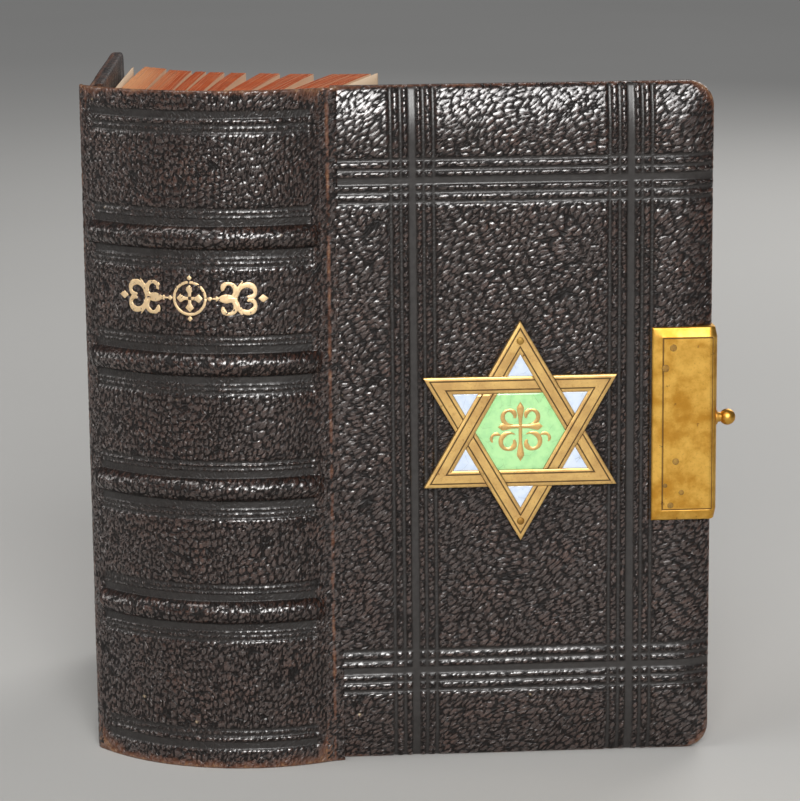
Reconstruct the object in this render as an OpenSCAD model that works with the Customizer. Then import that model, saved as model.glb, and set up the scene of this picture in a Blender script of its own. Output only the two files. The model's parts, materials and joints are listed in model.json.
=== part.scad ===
// Clasped pocket bible with a round spine and raised bands, standing ajar on its tail.
// The spine faces -Y, the front cover is on the +X side, and Z runs from tail to head.
// The origin is the middle of the spine's tail edge.

/* [Book] */
// Height of the covers
book_h = 150; // [120:1:200]
// Width of a cover, joint to fore-edge
cover_w = 84; // [60:1:110]
// Width of the spine, joint to joint
spine_w = 55; // [40:1:80]
// Depth of the spine's rounding behind the joints
spine_bulge = 10; // [5:0.5:14]
// Thickness of a finished cover
cover_t = 5; // [4:0.5:8]
// How much shorter the leaves are than the covers, at the head and at the tail
square = 3.5; // [2:0.5:6]

/* [Pose at rest] */
// Opening of the front cover
front_open = 74; // [0:1:120]
// Opening of the back cover
back_open = 14; // [0:0.5:30]
// Swing of the clasp's arm from its shut place
arm_open = 55; // [0:1:120]
// Lean of each clump of leaves, front to back, positive towards the front cover
clump_lean = [0.4, -3.3, -5.4, -8, -9.3, -9.9, -10.6, -11.2];
// Lean of the front flyleaf
front_fly_lean = 1.2; // [0:0.5:20]
// Lean of the back flyleaf
back_fly_lean = -12.6; // [-20:0.1:0]

/* [Leather] */
// Thickness of the leather
leather_t = 0.9; // [0.6:0.1:1.5]
// Width of the rounded margin at a cover's free edges
pillow_w = 9; // [5:0.5:14]
// How far the rounded margin falls at the very edge
pillow_drop = 2.2; // [1:0.1:3]
// Radius of a cover's free corners
corner_r = 5.5; // [2:0.5:10]
// Width of the leather turned in round the inside of a cover
turn_in = 7; // [4:0.5:12]
// Depth of the tooled lines
tool_d = 0.35; // [0.2:0.05:0.6]
// Distance of a cover's tooled line group from its side edges and from its head and tail
tool_inset = [18.3, 20.4];

/* [Spine] */
// Number of raised bands
band_count = 4; // [3:1:6]
// Height of the highest band's middle
band_top = 118.4; // [90:0.2:140]
// Distance from band to band
band_pitch = 27.6; // [20:0.2:36]
// Width of a raised band
band_w = 5; // [3:0.5:8]
// How far a band stands up from the spine
band_rise = 1.7; // [1:0.1:3]

/* [Star] */
// Radius of the star's six points
star_r = 24.5; // [15:0.5:32]
// Width of the star's brass strapwork
strap_w = 3.7; // [2:0.1:5]
// Thickness of the star's base plate
star_base_t = 0.5; // [0.4:0.1:1]
// Thickness of the star at its strapwork
star_t = 1.3; // [0.8:0.1:2]

/* [Clasp] */
// Height and width of the clasp's front plate
plate_h = 43.2; // [30:0.2:60]
plate_w = 14.6; // [10:0.2:20]
// Thickness of the clasp's plates
plate_t = 1; // [0.6:0.1:1.5]
// Radius of the catch peg's ball
ball_r = 1.8; // [1.5:0.1:2.5]
// Clearance round the ball in the arm's eye
eye_gap = 0.3; // [0.2:0.05:0.5]
// Radius of the hinge pin
pin_r = 0.8; // [0.6:0.1:1.2]

// Sub-part to show

/* [Hidden] */
$fn = 96;
leather_c = [0.10, 0.065, 0.05];
board_c = [0.55, 0.45, 0.33];
paper_c = [0.88, 0.78, 0.60];
page_c = [0.72, 0.36, 0.20];
brass_c = [0.72, 0.50, 0.16];
gap = 0.3;                                   // air between pieces of different bodies
big = 400;                                   // longer than the book either way
joint_x = spine_w / 2;
joint_y = spine_bulge - leather_t / 2;       // both joints; shapes below are drawn with y = 0 there
arc_r = (joint_x * joint_x + spine_bulge * spine_bulge) / (2 * spine_bulge);
arc_y = arc_r - spine_bulge;                 // centre of the spine's rounding
lining_t = 0.8;
gilt_t = 0.15;
lining_r = arc_r - leather_t;
endband_r = 1.1;
root_r = lining_r - lining_t - 1;            // backs of the leaves, clear of the lining as they swing
joint_gap = 1;                               // from the joint's axis to a cover's near edge
pillow_r = (pillow_w * pillow_w + pillow_drop * pillow_drop) / (2 * pillow_drop);
fold_y = 2;                                  // line that the clumps of leaves swing about
fold_taper = 0.5;                            // each clump is thinned by this on both sides at the fold
taper_len = 9;
leaf_w = 74.6;
fore_shift = 9;                              // puts the hollow of the fore-edge nearer the front cover
fly_t = 0.6;
fly_w = [69, 78];                            // front and back flyleaf, as far as the leaves beside them
clump_share = [8.9, 5.5, 5, 3.6, 3.6, 2.6, 5.5, 5.8];
clump_n = len(clump_share);
function total(v, n) = n <= 0 ? 0 : v[n - 1] + total(v, n - 1);
clumps_w = spine_w - 2 * cover_t - 2 * fly_t - (clump_n + 3) * gap;
clump_t = [for (s = clump_share) s * clumps_w / total(clump_share, clump_n)];
fly_x = joint_x - cover_t - gap - fly_t / 2;
clump_x = [for (i = [0:clump_n - 1])
    fly_x - fly_t / 2 - (i + 1) * gap - total(clump_t, i) - clump_t[i] / 2];
band_z = [for (i = [0:band_count - 1]) band_top - i * band_pitch];
line_wide = 1.6;
line_thin = 0.5;
line_step = [2.45, 4.6];                     // from a group's wide line to its two thin ones
star_pos = [(joint_gap + cover_w) / 2 - 1.1, book_h / 2 - 0.65];
clasp_z = book_h / 2;
back_h = 26;                                 // height of the back plate
peg_z = clasp_z + 0.8;
peg_neck = 0.8;
rim = cover_w + plate_t;                     // outside of a clasp plate at the fore-edge
peg_x = joint_x - cover_t / 2;
panel_rise = 0.35;
border_w = 2.7;
knuckle_r = 1.7;
knuckle_h = 9;
hinge_y = rim + knuckle_r + 0.15;
hinge_x = 1.9 - joint_x;
arm_t = 1;
arm_y = rim + 0.5;                           // near face of the shut arm
run = 0.05;                                  // running clearance of the pin in the arm

// ---------- placing ----------
module at_joints() translate([0, joint_y, 0]) children();
module turned(x, a) at_joints() translate([x, 0, 0]) rotate([0, 0, a]) translate([-x, 0, 0]) children();
module front_turn() turned(joint_x, -front_open) children();
module back_turn() turned(-joint_x, back_open) children();
module back_side() back_turn() mirror([1, 0, 0]) children();
// flat shapes drawn as (width along the cover, height), raised h above the front cover's face
module on_face(h, t) translate([joint_x + h, 0, 0]) rotate([90, 0, 90]) linear_extrude(t) children();

// ---------- covers ----------
// A shut front cover, drawn in by i on every side
module cover_plan(i) {
    r = corner_r - i;
    translate([joint_gap + i, i]) square([cover_w - joint_gap - 2 * i - r, book_h - 2 * i]);
    translate([joint_gap + i, i + r]) square([cover_w - joint_gap - 2 * i, book_h - 2 * (i + r)]);
    for (z = [i + r, book_h - i - r]) translate([cover_w - i - r, z]) circle(r);
}
module side_profile(i) intersection() {
    translate([joint_x - cover_t + i, 0]) square([cover_t - 2 * i, cover_w]);
    union() {
        translate([0, -1]) square([joint_x, cover_w - pillow_w + 1]);
        translate([joint_x - pillow_r, cover_w - pillow_w]) circle(pillow_r - i);
    }
}
module end_profile(i) intersection() {
    translate([joint_x - cover_t + i, 0]) square([cover_t - 2 * i, book_h]);
    union() {
        translate([0, pillow_w]) square([joint_x, book_h - 2 * pillow_w]);
        for (z = [pillow_w, book_h - pillow_w]) translate([joint_x - pillow_r, z]) circle(pillow_r - i);
    }
}
module cover_solid(i) intersection() {
    linear_extrude(book_h) side_profile(i);
    translate([0, cover_w, 0]) rotate([90, 0, 0]) linear_extrude(cover_w) end_profile(i);
    on_face(-cover_t, cover_t) cover_plan(i);
}
module inner_window() translate([joint_x - cover_t - 1, joint_gap + turn_in / 2, turn_in])
    cube([1 + leather_t, cover_w - joint_gap - 1.5 * turn_in, book_h - 2 * turn_in]);
// two crossing groups of tooled lines on each pair of sides
module tool_group() {
    translate([-line_wide / 2, 0]) square([line_wide, big]);
    for (s = [-1, 1], d = line_step) translate([s * d - line_thin / 2, 0]) square([line_thin, big]);
}
module tool_lines() on_face(-cover_t / 2, cover_t) {
    for (u = [tool_inset[0], cover_w - tool_inset[0]]) translate([u, 0]) tool_group();
    for (v = [tool_inset[1], book_h - tool_inset[1]]) translate([big / 2, v]) rotate(90) tool_group();
}
module cover_leather() difference() {
    cover_solid(0);
    cover_solid(leather_t);
    inner_window();
    difference() { tool_lines(); cover_solid(tool_d); }
}
module pastedown() intersection() { cover_solid(0); inner_window(); }

module front_board() color(board_c) front_turn() cover_solid(leather_t);
module back_board() color(board_c) back_side() cover_solid(leather_t);
module front_leather() color(leather_c) front_turn() cover_leather();
module back_leather() color(leather_c) back_side() cover_leather();
module front_pastedown() color(paper_c) front_turn() pastedown();
module back_pastedown() color(paper_c) back_side() pastedown();

// ---------- spine ----------
// sweeps a (radius, height) profile round the spine, from x = -reach to reach
module round_spine(reach) {
    span = 2 * asin(reach / arc_r);
    at_joints() translate([0, arc_y, 0]) rotate([0, 0, -90 - span / 2])
        rotate_extrude(angle = span) children();
}
// outline of a raised band: a low arc standing on the spine's surface
module hump(rise, w) {
    r = (w * w / 4 + rise * rise) / (2 * rise);
    intersection() {
        translate([arc_r + rise - r, 0]) circle(r);
        translate([arc_r - leather_t / 2, -w]) square([rise + leather_t, 2 * w]);
    }
}
module core_profile(z) translate([0, z]) hump(band_rise - leather_t / 2, band_w - 2 * leather_t);
module groove(z, w) translate([arc_r - tool_d, z - w / 2]) square([1, w]);
module spine_profile() difference() {
    union() {
        translate([arc_r - leather_t, 0]) square([leather_t, book_h]);
        for (z = band_z) translate([0, z]) hump(band_rise, band_w);
    }
    for (z = band_z) core_profile(z);
    for (z = band_z, s = [-1, 1]) {
        groove(z + s * 3.4, line_wide);
        for (d = [4.9, 6.1]) groove(z + s * d, line_thin);
    }
    for (s = [-1, 1]) {
        groove(book_h / 2 + s * (book_h / 2 - 5.2), line_wide);
        for (d = [7.5, 8.8]) groove(book_h / 2 + s * (book_h / 2 - d), line_thin);
    }
}
module spine_leather() color(leather_c) round_spine(joint_x - gap) spine_profile();
module band_core(i) color(board_c) round_spine(joint_x - gap) core_profile(band_z[i]);
module spine_lining() color(paper_c) round_spine(joint_x - 4)
    translate([lining_r - lining_t, 1]) square([lining_t, book_h - 2]);
// the rolled band sewn across the backs of the leaves
module endband(z) round_spine(joint_x - 7) translate([lining_r - lining_t - endband_r, z]) circle(endband_r);
module head_endband() color(paper_c) endband(book_h - square + endband_r + 0.4);
module tail_endband() color(paper_c) endband(square - endband_r - 0.4);
module gilt_shape() {
    for (s = [-1, 1]) translate([s * 10.5, 0]) {
        rotate(45) square(4.4, center = true);
        translate([s * 4.9, 0]) circle(0.9);
        translate([-s * 4.9, 0]) circle(0.9);
    }
    difference() { circle(4.4); circle(3.6); }
    for (a = [0, 90]) rotate(a) square([6, 1.4], center = true);
}
module gilt_ornament() color(brass_c) intersection() {
    round_spine(joint_x / 2 + 8) translate([arc_r, 0]) square([gilt_t, book_h]);
    translate([-0.8, 0, (band_z[0] + band_z[1]) / 2 + 0.8]) rotate([90, 0, 0])
        translate([0, 0, -joint_y]) linear_extrude(big) gilt_shape();
}

// ---------- leaves ----------
// plan of a clump t thick whose middle is at x; its back and its fore-edge follow the spine's rounding,
// and the fore-edge slants, as on a book whose spine has been read askew
module clump_plan(x, t) difference() {
    intersection() {
        translate([x, 0]) polygon([[-t / 2, leaf_w + 20], [-t / 2, fold_y + taper_len],
            [-t / 2 + fold_taper, fold_y], [-t / 2 + fold_taper, -spine_bulge],
            [t / 2 - fold_taper, -spine_bulge], [t / 2 - fold_taper, fold_y],
            [t / 2, fold_y + taper_len], [t / 2, leaf_w + 20]]);
        union() {
            translate([0, arc_y]) circle(root_r);
            translate([-joint_x, arc_y - 20]) square([spine_w, big]);
        }
    }
    translate([fore_shift, arc_y + leaf_w]) circle(root_r);
}
// clump i swings about the fold line, and the last one about the back joint
module clump(i) {
    pivot = i == clump_n - 1 ? [-joint_x, 0, 0] : [clump_x[i], fold_y, 0];
    color(page_c) at_joints() translate(pivot) rotate([0, 0, -clump_lean[i]]) translate(-pivot)
        translate([0, 0, square]) linear_extrude(book_h - 2 * square) clump_plan(clump_x[i], clump_t[i]);
}
module flyleaf(x, lean, w) color(paper_c) translate([x, 0, square]) rotate([0, 0, -lean])
    translate([-fly_t / 2, 0, 0]) cube([fly_t, w, book_h - 2 * square]);
module front_flyleaf() at_joints() flyleaf(fly_x, front_fly_lean, fly_w[0]);
// the back flyleaf swings with the last clump and then a little further
module back_flyleaf() turned(-joint_x, -clump_lean[clump_n - 1])
    flyleaf(-fly_x, back_fly_lean - clump_lean[clump_n - 1], fly_w[1]);

// ---------- star ----------
module triangle(r, up) rotate(up ? 90 : -90) polygon([for (a = [0, 120, 240]) r * [cos(a), sin(a)]]);
module straps() for (up = [true, false]) difference() {
    triangle(star_r, up);
    triangle(star_r - 2 * strap_w, up);
}
module cross_shape() {
    bar = 1.3;
    arm = 4.4;
    for (a = [0, 90, 180, 270]) rotate(a) {
        translate([0, arm / 2]) square([bar, arm], center = true);
        for (p = [[0, arm + 0.7], [-1.1, arm - 0.5], [1.1, arm - 0.5]]) translate(p) circle(0.85);
    }
}
module on_star(h, t) front_turn() on_face(h, t) translate(star_pos) children();
module star_plate() color(brass_c) {
    on_star(0, star_base_t) for (up = [true, false]) triangle(star_r, up);
    on_star(star_base_t, star_t - star_base_t) straps();
}
module star_white_enamel() color([0.85, 0.9, 0.95]) on_star(star_base_t, star_t - star_base_t - 0.2)
    for (up = [true, false]) difference() {
        triangle(star_r - 2 * strap_w, up);
        triangle(star_r, !up);
    }
module star_green_enamel() color([0.55, 0.82, 0.5]) on_star(star_base_t, star_t - star_base_t - 0.2)
    difference() {
        intersection_for (up = [true, false]) triangle(star_r - 2 * strap_w, up);
        cross_shape();
    }
module star_cross() color(brass_c) on_star(star_base_t, star_t - star_base_t - 0.1) cross_shape();
module star_nails() color(brass_c) front_turn() for (s = [-1, 1])
    translate([joint_x + star_t, star_pos[0], star_pos[1] + s * (star_r - 4.4)]) rotate([0, 90, 0])
        intersection() { translate([0, 0, -0.35]) sphere(0.75); cylinder(h = 1, r = 1); }

// ---------- clasp ----------
// cast plate that laps over a cover's face and down its fore-edge
module plate_side() intersection() {
    translate([joint_x - cover_t + 0.4, rim - plate_w]) square([cover_t + plate_t, plate_w]);
    union() {
        square([2 * joint_x, rim - 2]);
        square([joint_x + plate_t - 2, rim]);
        translate([joint_x + plate_t - 2, rim - 2]) circle(2);
    }
}
module plate_body(h) difference() {
    translate([0, 0, clasp_z - h / 2]) linear_extrude(h) intersection() {
        plate_side();
        square([joint_x + plate_t - panel_rise, rim]);
    }
    cover_solid(0);
}
// the flat middle, which stands up inside a lower border
module plate_panel(h) on_face(plate_t - panel_rise, panel_rise)
    translate([rim - plate_w + border_w, clasp_z - h / 2 + border_w])
        square([plate_w - border_w - 2, h - 2 * border_w]);
front_rivets = [[-2.7, 17.1], [-4.4, 12.6], [-2, -8.3], [-0.7, -15.3], [-3.1, -18.2], [-4.3, -13.7]];
module rivets(spots) for (p = spots)
    translate([joint_x + plate_t, rim - plate_w / 2 + p[0], clasp_z + p[1]]) rotate([0, 90, 0])
        intersection() { translate([0, 0, -0.5]) sphere(0.75); cylinder(h = 1, r = 1); }
module clasp_front_plate() color(brass_c) front_turn() { plate_body(plate_h); plate_panel(plate_h); }
module clasp_front_rivets() color(brass_c) front_turn() rivets(front_rivets);
// ball-headed peg that the arm's eye drops over
module catch_peg() color(brass_c) front_turn() translate([peg_x, rim, peg_z]) rotate([-90, 0, 0])
    rotate_extrude() difference() {
        union() {
            square([1.1, peg_neck + 0.6]);
            translate([0, peg_neck + ball_r]) circle(ball_r);
            square([1.7, 0.4]);
        }
        translate([-5, -1]) square([5, 10]);
    }
module knuckle(z, h, bore) translate([hinge_x, hinge_y, z]) difference() {
    cylinder(h = h, r = knuckle_r);
    translate([0, 0, -1]) cylinder(h = h + 2, r = bore);
}
module clasp_back_plate() color(brass_c) {
    back_side() plate_body(back_h);
    back_turn() for (z = [peg_z - knuckle_h / 2 - 4.2, peg_z + knuckle_h / 2 + 0.2]) {
        knuckle(z, 4, pin_r);
        translate([hinge_x - 0.6, rim - 0.2, z]) cube([1.2, hinge_y - rim - pin_r, 4]);
    }
}
module clasp_back_rivets() color(brass_c) back_side() rivets([[-2, 9], [-2, -9]]);
module clasp_hinge_pin() color(brass_c) back_turn()
    translate([hinge_x, hinge_y, peg_z - knuckle_h / 2 - 4.4]) cylinder(h = knuckle_h + 8.8, r = pin_r);
module arm_swing() translate([hinge_x, hinge_y, 0]) rotate([0, 0, arm_open])
    translate([-hinge_x, -hinge_y, 0]) children();
module clasp_arm() color(brass_c) back_turn() arm_swing() {
    eye_r = ball_r + eye_gap;
    reach = peg_x - hinge_x;
    knuckle(peg_z - knuckle_h / 2, knuckle_h, pin_r + run);
    translate([hinge_x, arm_y + arm_t, peg_z]) rotate([90, 0, 0]) linear_extrude(arm_t) difference() {
        union() {
            translate([knuckle_r - 0.5, -knuckle_h / 2]) square([reach - knuckle_r - 4, knuckle_h]);
            translate([reach, 0]) circle(eye_r + 2.6);
            polygon([[reach - 5, -knuckle_h / 2], [reach - 5, knuckle_h / 2], [reach, 4.4], [reach, -4.4]]);
        }
        translate([reach, 0]) circle(eye_r);
    }
}

spine_leather();
spine_lining();
band_core(0);  // band_core_1
band_core(1);  // band_core_2
band_core(2);  // band_core_3
band_core(3);  // band_core_4
head_endband();
tail_endband();
gilt_ornament();
clump(0);  // clump_1
clump(1);  // clump_2
clump(2);  // clump_3
clump(3);  // clump_4
clump(4);  // clump_5
clump(5);  // clump_6
clump(6);  // clump_7
clump(7);  // clump_8
front_flyleaf();
back_flyleaf();
front_board();
front_leather();
front_pastedown();
star_plate();
star_white_enamel();
star_green_enamel();
star_cross();
star_nails();
clasp_front_plate();
clasp_front_rivets();
catch_peg();
back_board();
back_leather();
back_pastedown();
clasp_back_plate();
clasp_back_rivets();
clasp_hinge_pin();
clasp_arm();
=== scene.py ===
# %% [markdown]
# # A clasped bible, standing ajar
# A pocket bible bound in dark morocco leather, with a round spine, raised bands, a brass and
# enamel star and a brass clasp. The design is already solved as a frame of solids with joints.
# Here every solid gets a finished surface. Loading the frame comes first, because every size
# and place below is read from it.

# %% Load the frame
import json
import math

import bmesh
import bpy
import numpy as np
from mathutils import Matrix, Vector


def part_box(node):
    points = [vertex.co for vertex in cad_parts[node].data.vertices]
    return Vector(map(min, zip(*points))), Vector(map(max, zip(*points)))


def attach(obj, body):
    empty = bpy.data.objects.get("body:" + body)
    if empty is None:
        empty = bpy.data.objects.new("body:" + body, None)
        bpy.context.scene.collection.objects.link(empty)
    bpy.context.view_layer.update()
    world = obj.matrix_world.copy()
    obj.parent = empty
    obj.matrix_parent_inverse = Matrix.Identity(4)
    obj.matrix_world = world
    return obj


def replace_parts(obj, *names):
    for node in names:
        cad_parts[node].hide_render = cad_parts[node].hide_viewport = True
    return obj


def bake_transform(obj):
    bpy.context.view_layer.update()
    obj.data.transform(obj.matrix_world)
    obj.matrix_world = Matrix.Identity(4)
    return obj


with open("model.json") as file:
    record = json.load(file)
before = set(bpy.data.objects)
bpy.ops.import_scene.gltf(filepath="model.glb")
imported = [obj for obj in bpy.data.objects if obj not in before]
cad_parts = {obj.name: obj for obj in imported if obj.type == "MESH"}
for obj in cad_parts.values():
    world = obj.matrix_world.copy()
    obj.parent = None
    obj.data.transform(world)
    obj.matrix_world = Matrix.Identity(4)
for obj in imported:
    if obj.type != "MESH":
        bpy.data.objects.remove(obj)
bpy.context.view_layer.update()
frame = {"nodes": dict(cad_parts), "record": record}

# %% [markdown]
# ## Reading sizes from the frame
# Lengths below are in millimetres, because a binder thinks in them, and become metres when a
# mesh is made. The joints give the two lines that the covers turn about, and how far each one
# is open at rest. The spine's rounding is a circle through both joints.

# %% Sizes of the book
MM = 0.001
behaviour = frame["record"]["behaviour"]
joints = {joint["name"]: joint for joint in behaviour["joints"]}
ratios = {pair["joint"]: pair["ratio"] for pair in behaviour["couplings"]}
front_hinge = np.array(joints["front_cover_open"]["pos_m"]) / MM
back_hinge = np.array(joints["back_cover_open"]["pos_m"]) / MM
front_open = -joints["front_cover_open"]["range_deg"][0]
back_open = -joints["back_cover_open"]["range_deg"][0] - ratios["clump_8_turn"] * front_open
book_h = (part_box("spine_leather")[1].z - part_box("spine_leather")[0].z) / MM
leather_t = 0.9
spine_bulge = front_hinge[1] + leather_t / 2
half_spine = front_hinge[0]
arc_r = (half_spine ** 2 + spine_bulge ** 2) / (2 * spine_bulge)
arc_y = front_hinge[1] + arc_r - spine_bulge
print(f"book {book_h:.0f} high, front open {front_open:.0f}, back open {back_open:.1f} degrees")


def cad_points(node):
    """Every corner of a solid of the frame, in millimetres."""
    return np.array([v.co for v in frame["nodes"][node].data.vertices]) / MM


# %% [markdown]
# ## A cover's own directions
# A cover is easier to build lying flat: u runs from the joint to the fore-edge, v from tail to
# head, and w out of the leather face. A small class turns such places into the book's frame,
# so the front and the back cover can share every function.

# %% Directions of the two covers
class Side:
    """One cover: its joint, the way it points and the way its outside faces."""

    def __init__(self, hinge, turn, hand, body):
        angle = math.radians(turn)
        self.hinge = np.array([hinge[0], hinge[1], 0.0])
        self.u = np.array([hand * math.sin(angle), math.cos(angle), 0.0])
        self.w = np.array([hand * math.cos(angle), -math.sin(angle), 0.0])
        self.body = body

    def place(self, u, v, w):
        """The point u along, v up and w out, in the book's frame."""
        flat = np.multiply.outer(u, self.u) + np.multiply.outer(w, self.w)
        return self.hinge + flat + np.multiply.outer(v, [0.0, 0.0, 1.0])


front = Side(front_hinge, front_open, 1, "front_cover")
back = Side(back_hinge, back_open, -1, "back_cover")
along = (cad_points("front_leather") - front.hinge) @ front.u
outward = (cad_points("front_leather") - front.hinge) @ front.w
cover_w, cover_t = along.max(), -outward.min()
joint_gap = along.min()
print(f"covers {cover_w:.1f} wide and {cover_t:.1f} thick")

# %% [markdown]
# ## Making meshes
# Every surface here is worked out as arrays of points, so one function turns points and faces
# into a Blender object. It also stores marks on the points: where a point lies on its own
# cover or band, how worn it is, how deep it is tooled. Materials read those marks later, which
# keeps wear and dirt where the shape says they belong.


# %% Mesh maker
def make_piece(name, points, faces, body, marks=None, smooth=True):
    """A closed mesh that rides on a body of the frame."""
    mesh = bpy.data.meshes.new(name)
    mesh.from_pydata((np.asarray(points, float) * MM).tolist(), [], [list(map(int, f)) for f in faces])
    for mark, values in (marks or {}).items():
        values = np.asarray(values, np.float32)
        kind = "FLOAT_VECTOR" if values.ndim == 2 else "FLOAT"
        attribute = mesh.attributes.new(mark, kind, "POINT")
        attribute.data.foreach_set("vector" if values.ndim == 2 else "value", values.ravel())
    editing = bmesh.new()
    editing.from_mesh(mesh)
    bmesh.ops.recalc_face_normals(editing, faces=editing.faces)
    editing.to_mesh(mesh)
    editing.free()
    mesh.polygons.foreach_set("use_smooth", [smooth] * len(mesh.polygons))
    piece = bpy.data.objects.new(name, mesh)
    bpy.context.scene.collection.objects.link(piece)
    if body:
        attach(piece, body)
    return piece


print("mesh maker ready")


# %% Faces of grids and lofts
def grid_faces(rows, columns, start=0, closed=False):
    """Four-sided faces between the points of a grid, row after row."""
    across = columns if closed else columns - 1
    i, j = np.meshgrid(np.arange(rows - 1), np.arange(across), indexing="ij")
    k = (j + 1) % columns
    corners = [i * columns + j, (i + 1) * columns + j, (i + 1) * columns + k, i * columns + k]
    return (start + np.stack(corners, -1).reshape(-1, 4)).tolist()


def loft(sections, start=0):
    """Faces of a solid through a row of closed outlines, with both ends capped."""
    rows, columns = len(sections), len(sections[0])
    ends = [list(range(columns)), list(range((rows - 1) * columns, rows * columns))]
    return grid_faces(rows, columns, start, True) + [[start + p for p in end] for end in ends]


def grid_rim(rows, columns):
    """The points round the outside of a grid, in order."""
    last = (rows - 1) * columns
    return np.r_[0:columns, np.arange(1, rows) * columns + columns - 1,
                 last + np.arange(columns - 2, -1, -1), np.arange(rows - 2, 0, -1) * columns]


def join_parts(parts):
    """Several (points, faces) pairs as one."""
    points, faces = [], []
    for part_points, part_faces in parts:
        faces += [[len(points) + p for p in face] for face in part_faces]
        points += [list(p) for p in part_points]
    return np.array(points), faces


print("a 3 by 4 grid has", len(grid_faces(3, 4)), "faces and a rim of", len(grid_rim(3, 4)), "points")


# %% [markdown]
# ## Grain from numbers
# Morocco leather has a pebbled grain: little cushions parted by fine creases. Points scattered
# one to a cell of a grid, and the distances to the nearest two, give just that pattern. It is
# worked out with whole-number arithmetic, so that it is the same in every run.


# %% Noise
def scramble(i, j, seed):
    """A number from 0 to 1 for each pair of whole numbers, always the same one."""
    n = (i.astype(np.int64) * 374761393 + j.astype(np.int64) * 668265263 + seed * 974634777) & 0xFFFFFFFF
    n = ((n ^ (n >> 13)) * 1274126177) & 0xFFFFFFFF
    return ((n ^ (n >> 16)) & 0xFFFFFF) / 0xFFFFFF


def soft_noise(x, y, seed=0):
    """Smooth noise from 0 to 1, with hills one unit apart."""
    i, j = np.floor(x), np.floor(y)
    a, b = x - i, y - j
    a, b = a * a * (3 - 2 * a), b * b * (3 - 2 * b)
    low = scramble(i, j, seed) * (1 - a) + scramble(i + 1, j, seed) * a
    high = scramble(i, j + 1, seed) * (1 - a) + scramble(i + 1, j + 1, seed) * a
    return low * (1 - b) + high * b


def ragged_noise(x, y, size, seed):
    """Noise with coarse hills of a given size and finer ones on them, for outlines of wear."""
    return soft_noise(x / size, y / size, seed) * 0.6 + soft_noise(x / 0.8, y / 0.8, seed + 1) * 0.4


middle_of_cell = np.array([0.5])
print("noise in a cell's middle:", round(float(soft_noise(middle_of_cell, middle_of_cell)[0]), 2))


# %% Pebbles of grain
def two_nearest(x, y, seed=0):
    """Distances to the nearest and the second nearest of the scattered points."""
    i, j = np.floor(x), np.floor(y)
    first, second = np.full(x.shape, 9.0), np.full(x.shape, 9.0)
    for di in (-1, 0, 1):
        for dj in (-1, 0, 1):
            px = i + di + scramble(i + di, j + dj, seed)
            py = j + dj + 0.15 + 0.7 * scramble(i + di, j + dj, seed + 1)
            d = np.hypot(px - x, py - y)
            second = np.minimum(second, np.maximum(first, d))
            first = np.minimum(first, d)
    return first, second


def smooth_step(low, high, x):
    """0 below low, 1 above high, and a smooth rise between them."""
    t = np.clip((x - low) / (high - low), 0, 1)
    return t * t * (3 - 2 * t)


def lie_of_grain(x, y, seed, curl=None):
    """Places in units of one pebble: along its length and across it; x and y in millimetres."""
    x = x + 2.6 * soft_noise(x / 9, y / 9, seed + 5) + 0.22 * soft_noise(x / 1.5, y / 1.5, seed + 8)
    y = y + 2.6 * soft_noise(x / 9, y / 9, seed + 6) + 0.22 * soft_noise(x / 1.5, y / 1.5, seed + 9)
    if curl is not None:
        return x / 1.2, (y - curl * x * x) / 1.7
    tilt = math.radians(33)
    return (x * math.cos(tilt) + y * math.sin(tilt)) / 2.5, (y * math.cos(tilt) - x * math.sin(tilt)) / 1.1


def pebbles(along, across, seed=3):
    """Height of the grain, from 0 in a crease to 1 on a pebble."""
    first, second = two_nearest(along, across, seed)
    coarse = smooth_step(0.0, 0.34, second - first) * (1 - 0.5 * first ** 2)
    first, second = two_nearest(along * 2.2 + 0.3, across * 2.0 + 0.6, seed + 13)
    return 0.74 * coarse + 0.26 * smooth_step(0.0, 0.5, second - first)


print("a pebble's mean height:", round(float(pebbles(*np.mgrid[0:20:0.3, 0:20:0.3]).mean()), 2))

# %% [markdown]
# ## Writing shaders as sums
# A Blender material is a graph of nodes. Drawing one by hand is slow, so this small class wraps
# an output socket and lets it be added, multiplied or subtracted like a number. Each sum adds
# its Math node. Colours and vectors are kept out of those sums, because a Math node would turn
# a colour grey: they go through Mix and Mapping nodes.


# %% The wire class
class Wire:
    """An output socket that can stand in a sum."""

    def __init__(self, finish, socket):
        self.finish, self.socket = finish, socket

    def math(self, operation, *values):
        """A node that works out one sum with wires or numbers."""
        inputs = {i: value for i, value in enumerate(values)}
        return self.finish.node("Math", {"operation": operation}, inputs)

    def __add__(self, other):
        return self.math("ADD", self, other)

    def __sub__(self, other):
        return self.math("SUBTRACT", self, other)

    def __rsub__(self, other):
        return self.math("SUBTRACT", other, self)

    def __mul__(self, other):
        return self.math("MULTIPLY", self, other)

    __radd__, __rmul__ = __add__, __mul__

    def step(self, low, high):
        """0 below low, 1 above high, smooth between."""
        return self.finish.node("MapRange", {"interpolation_type": "SMOOTHSTEP"},
                                {"Value": self, "From Min": low, "From Max": high})


print("a wire can be added, subtracted, multiplied and stepped")


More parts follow.
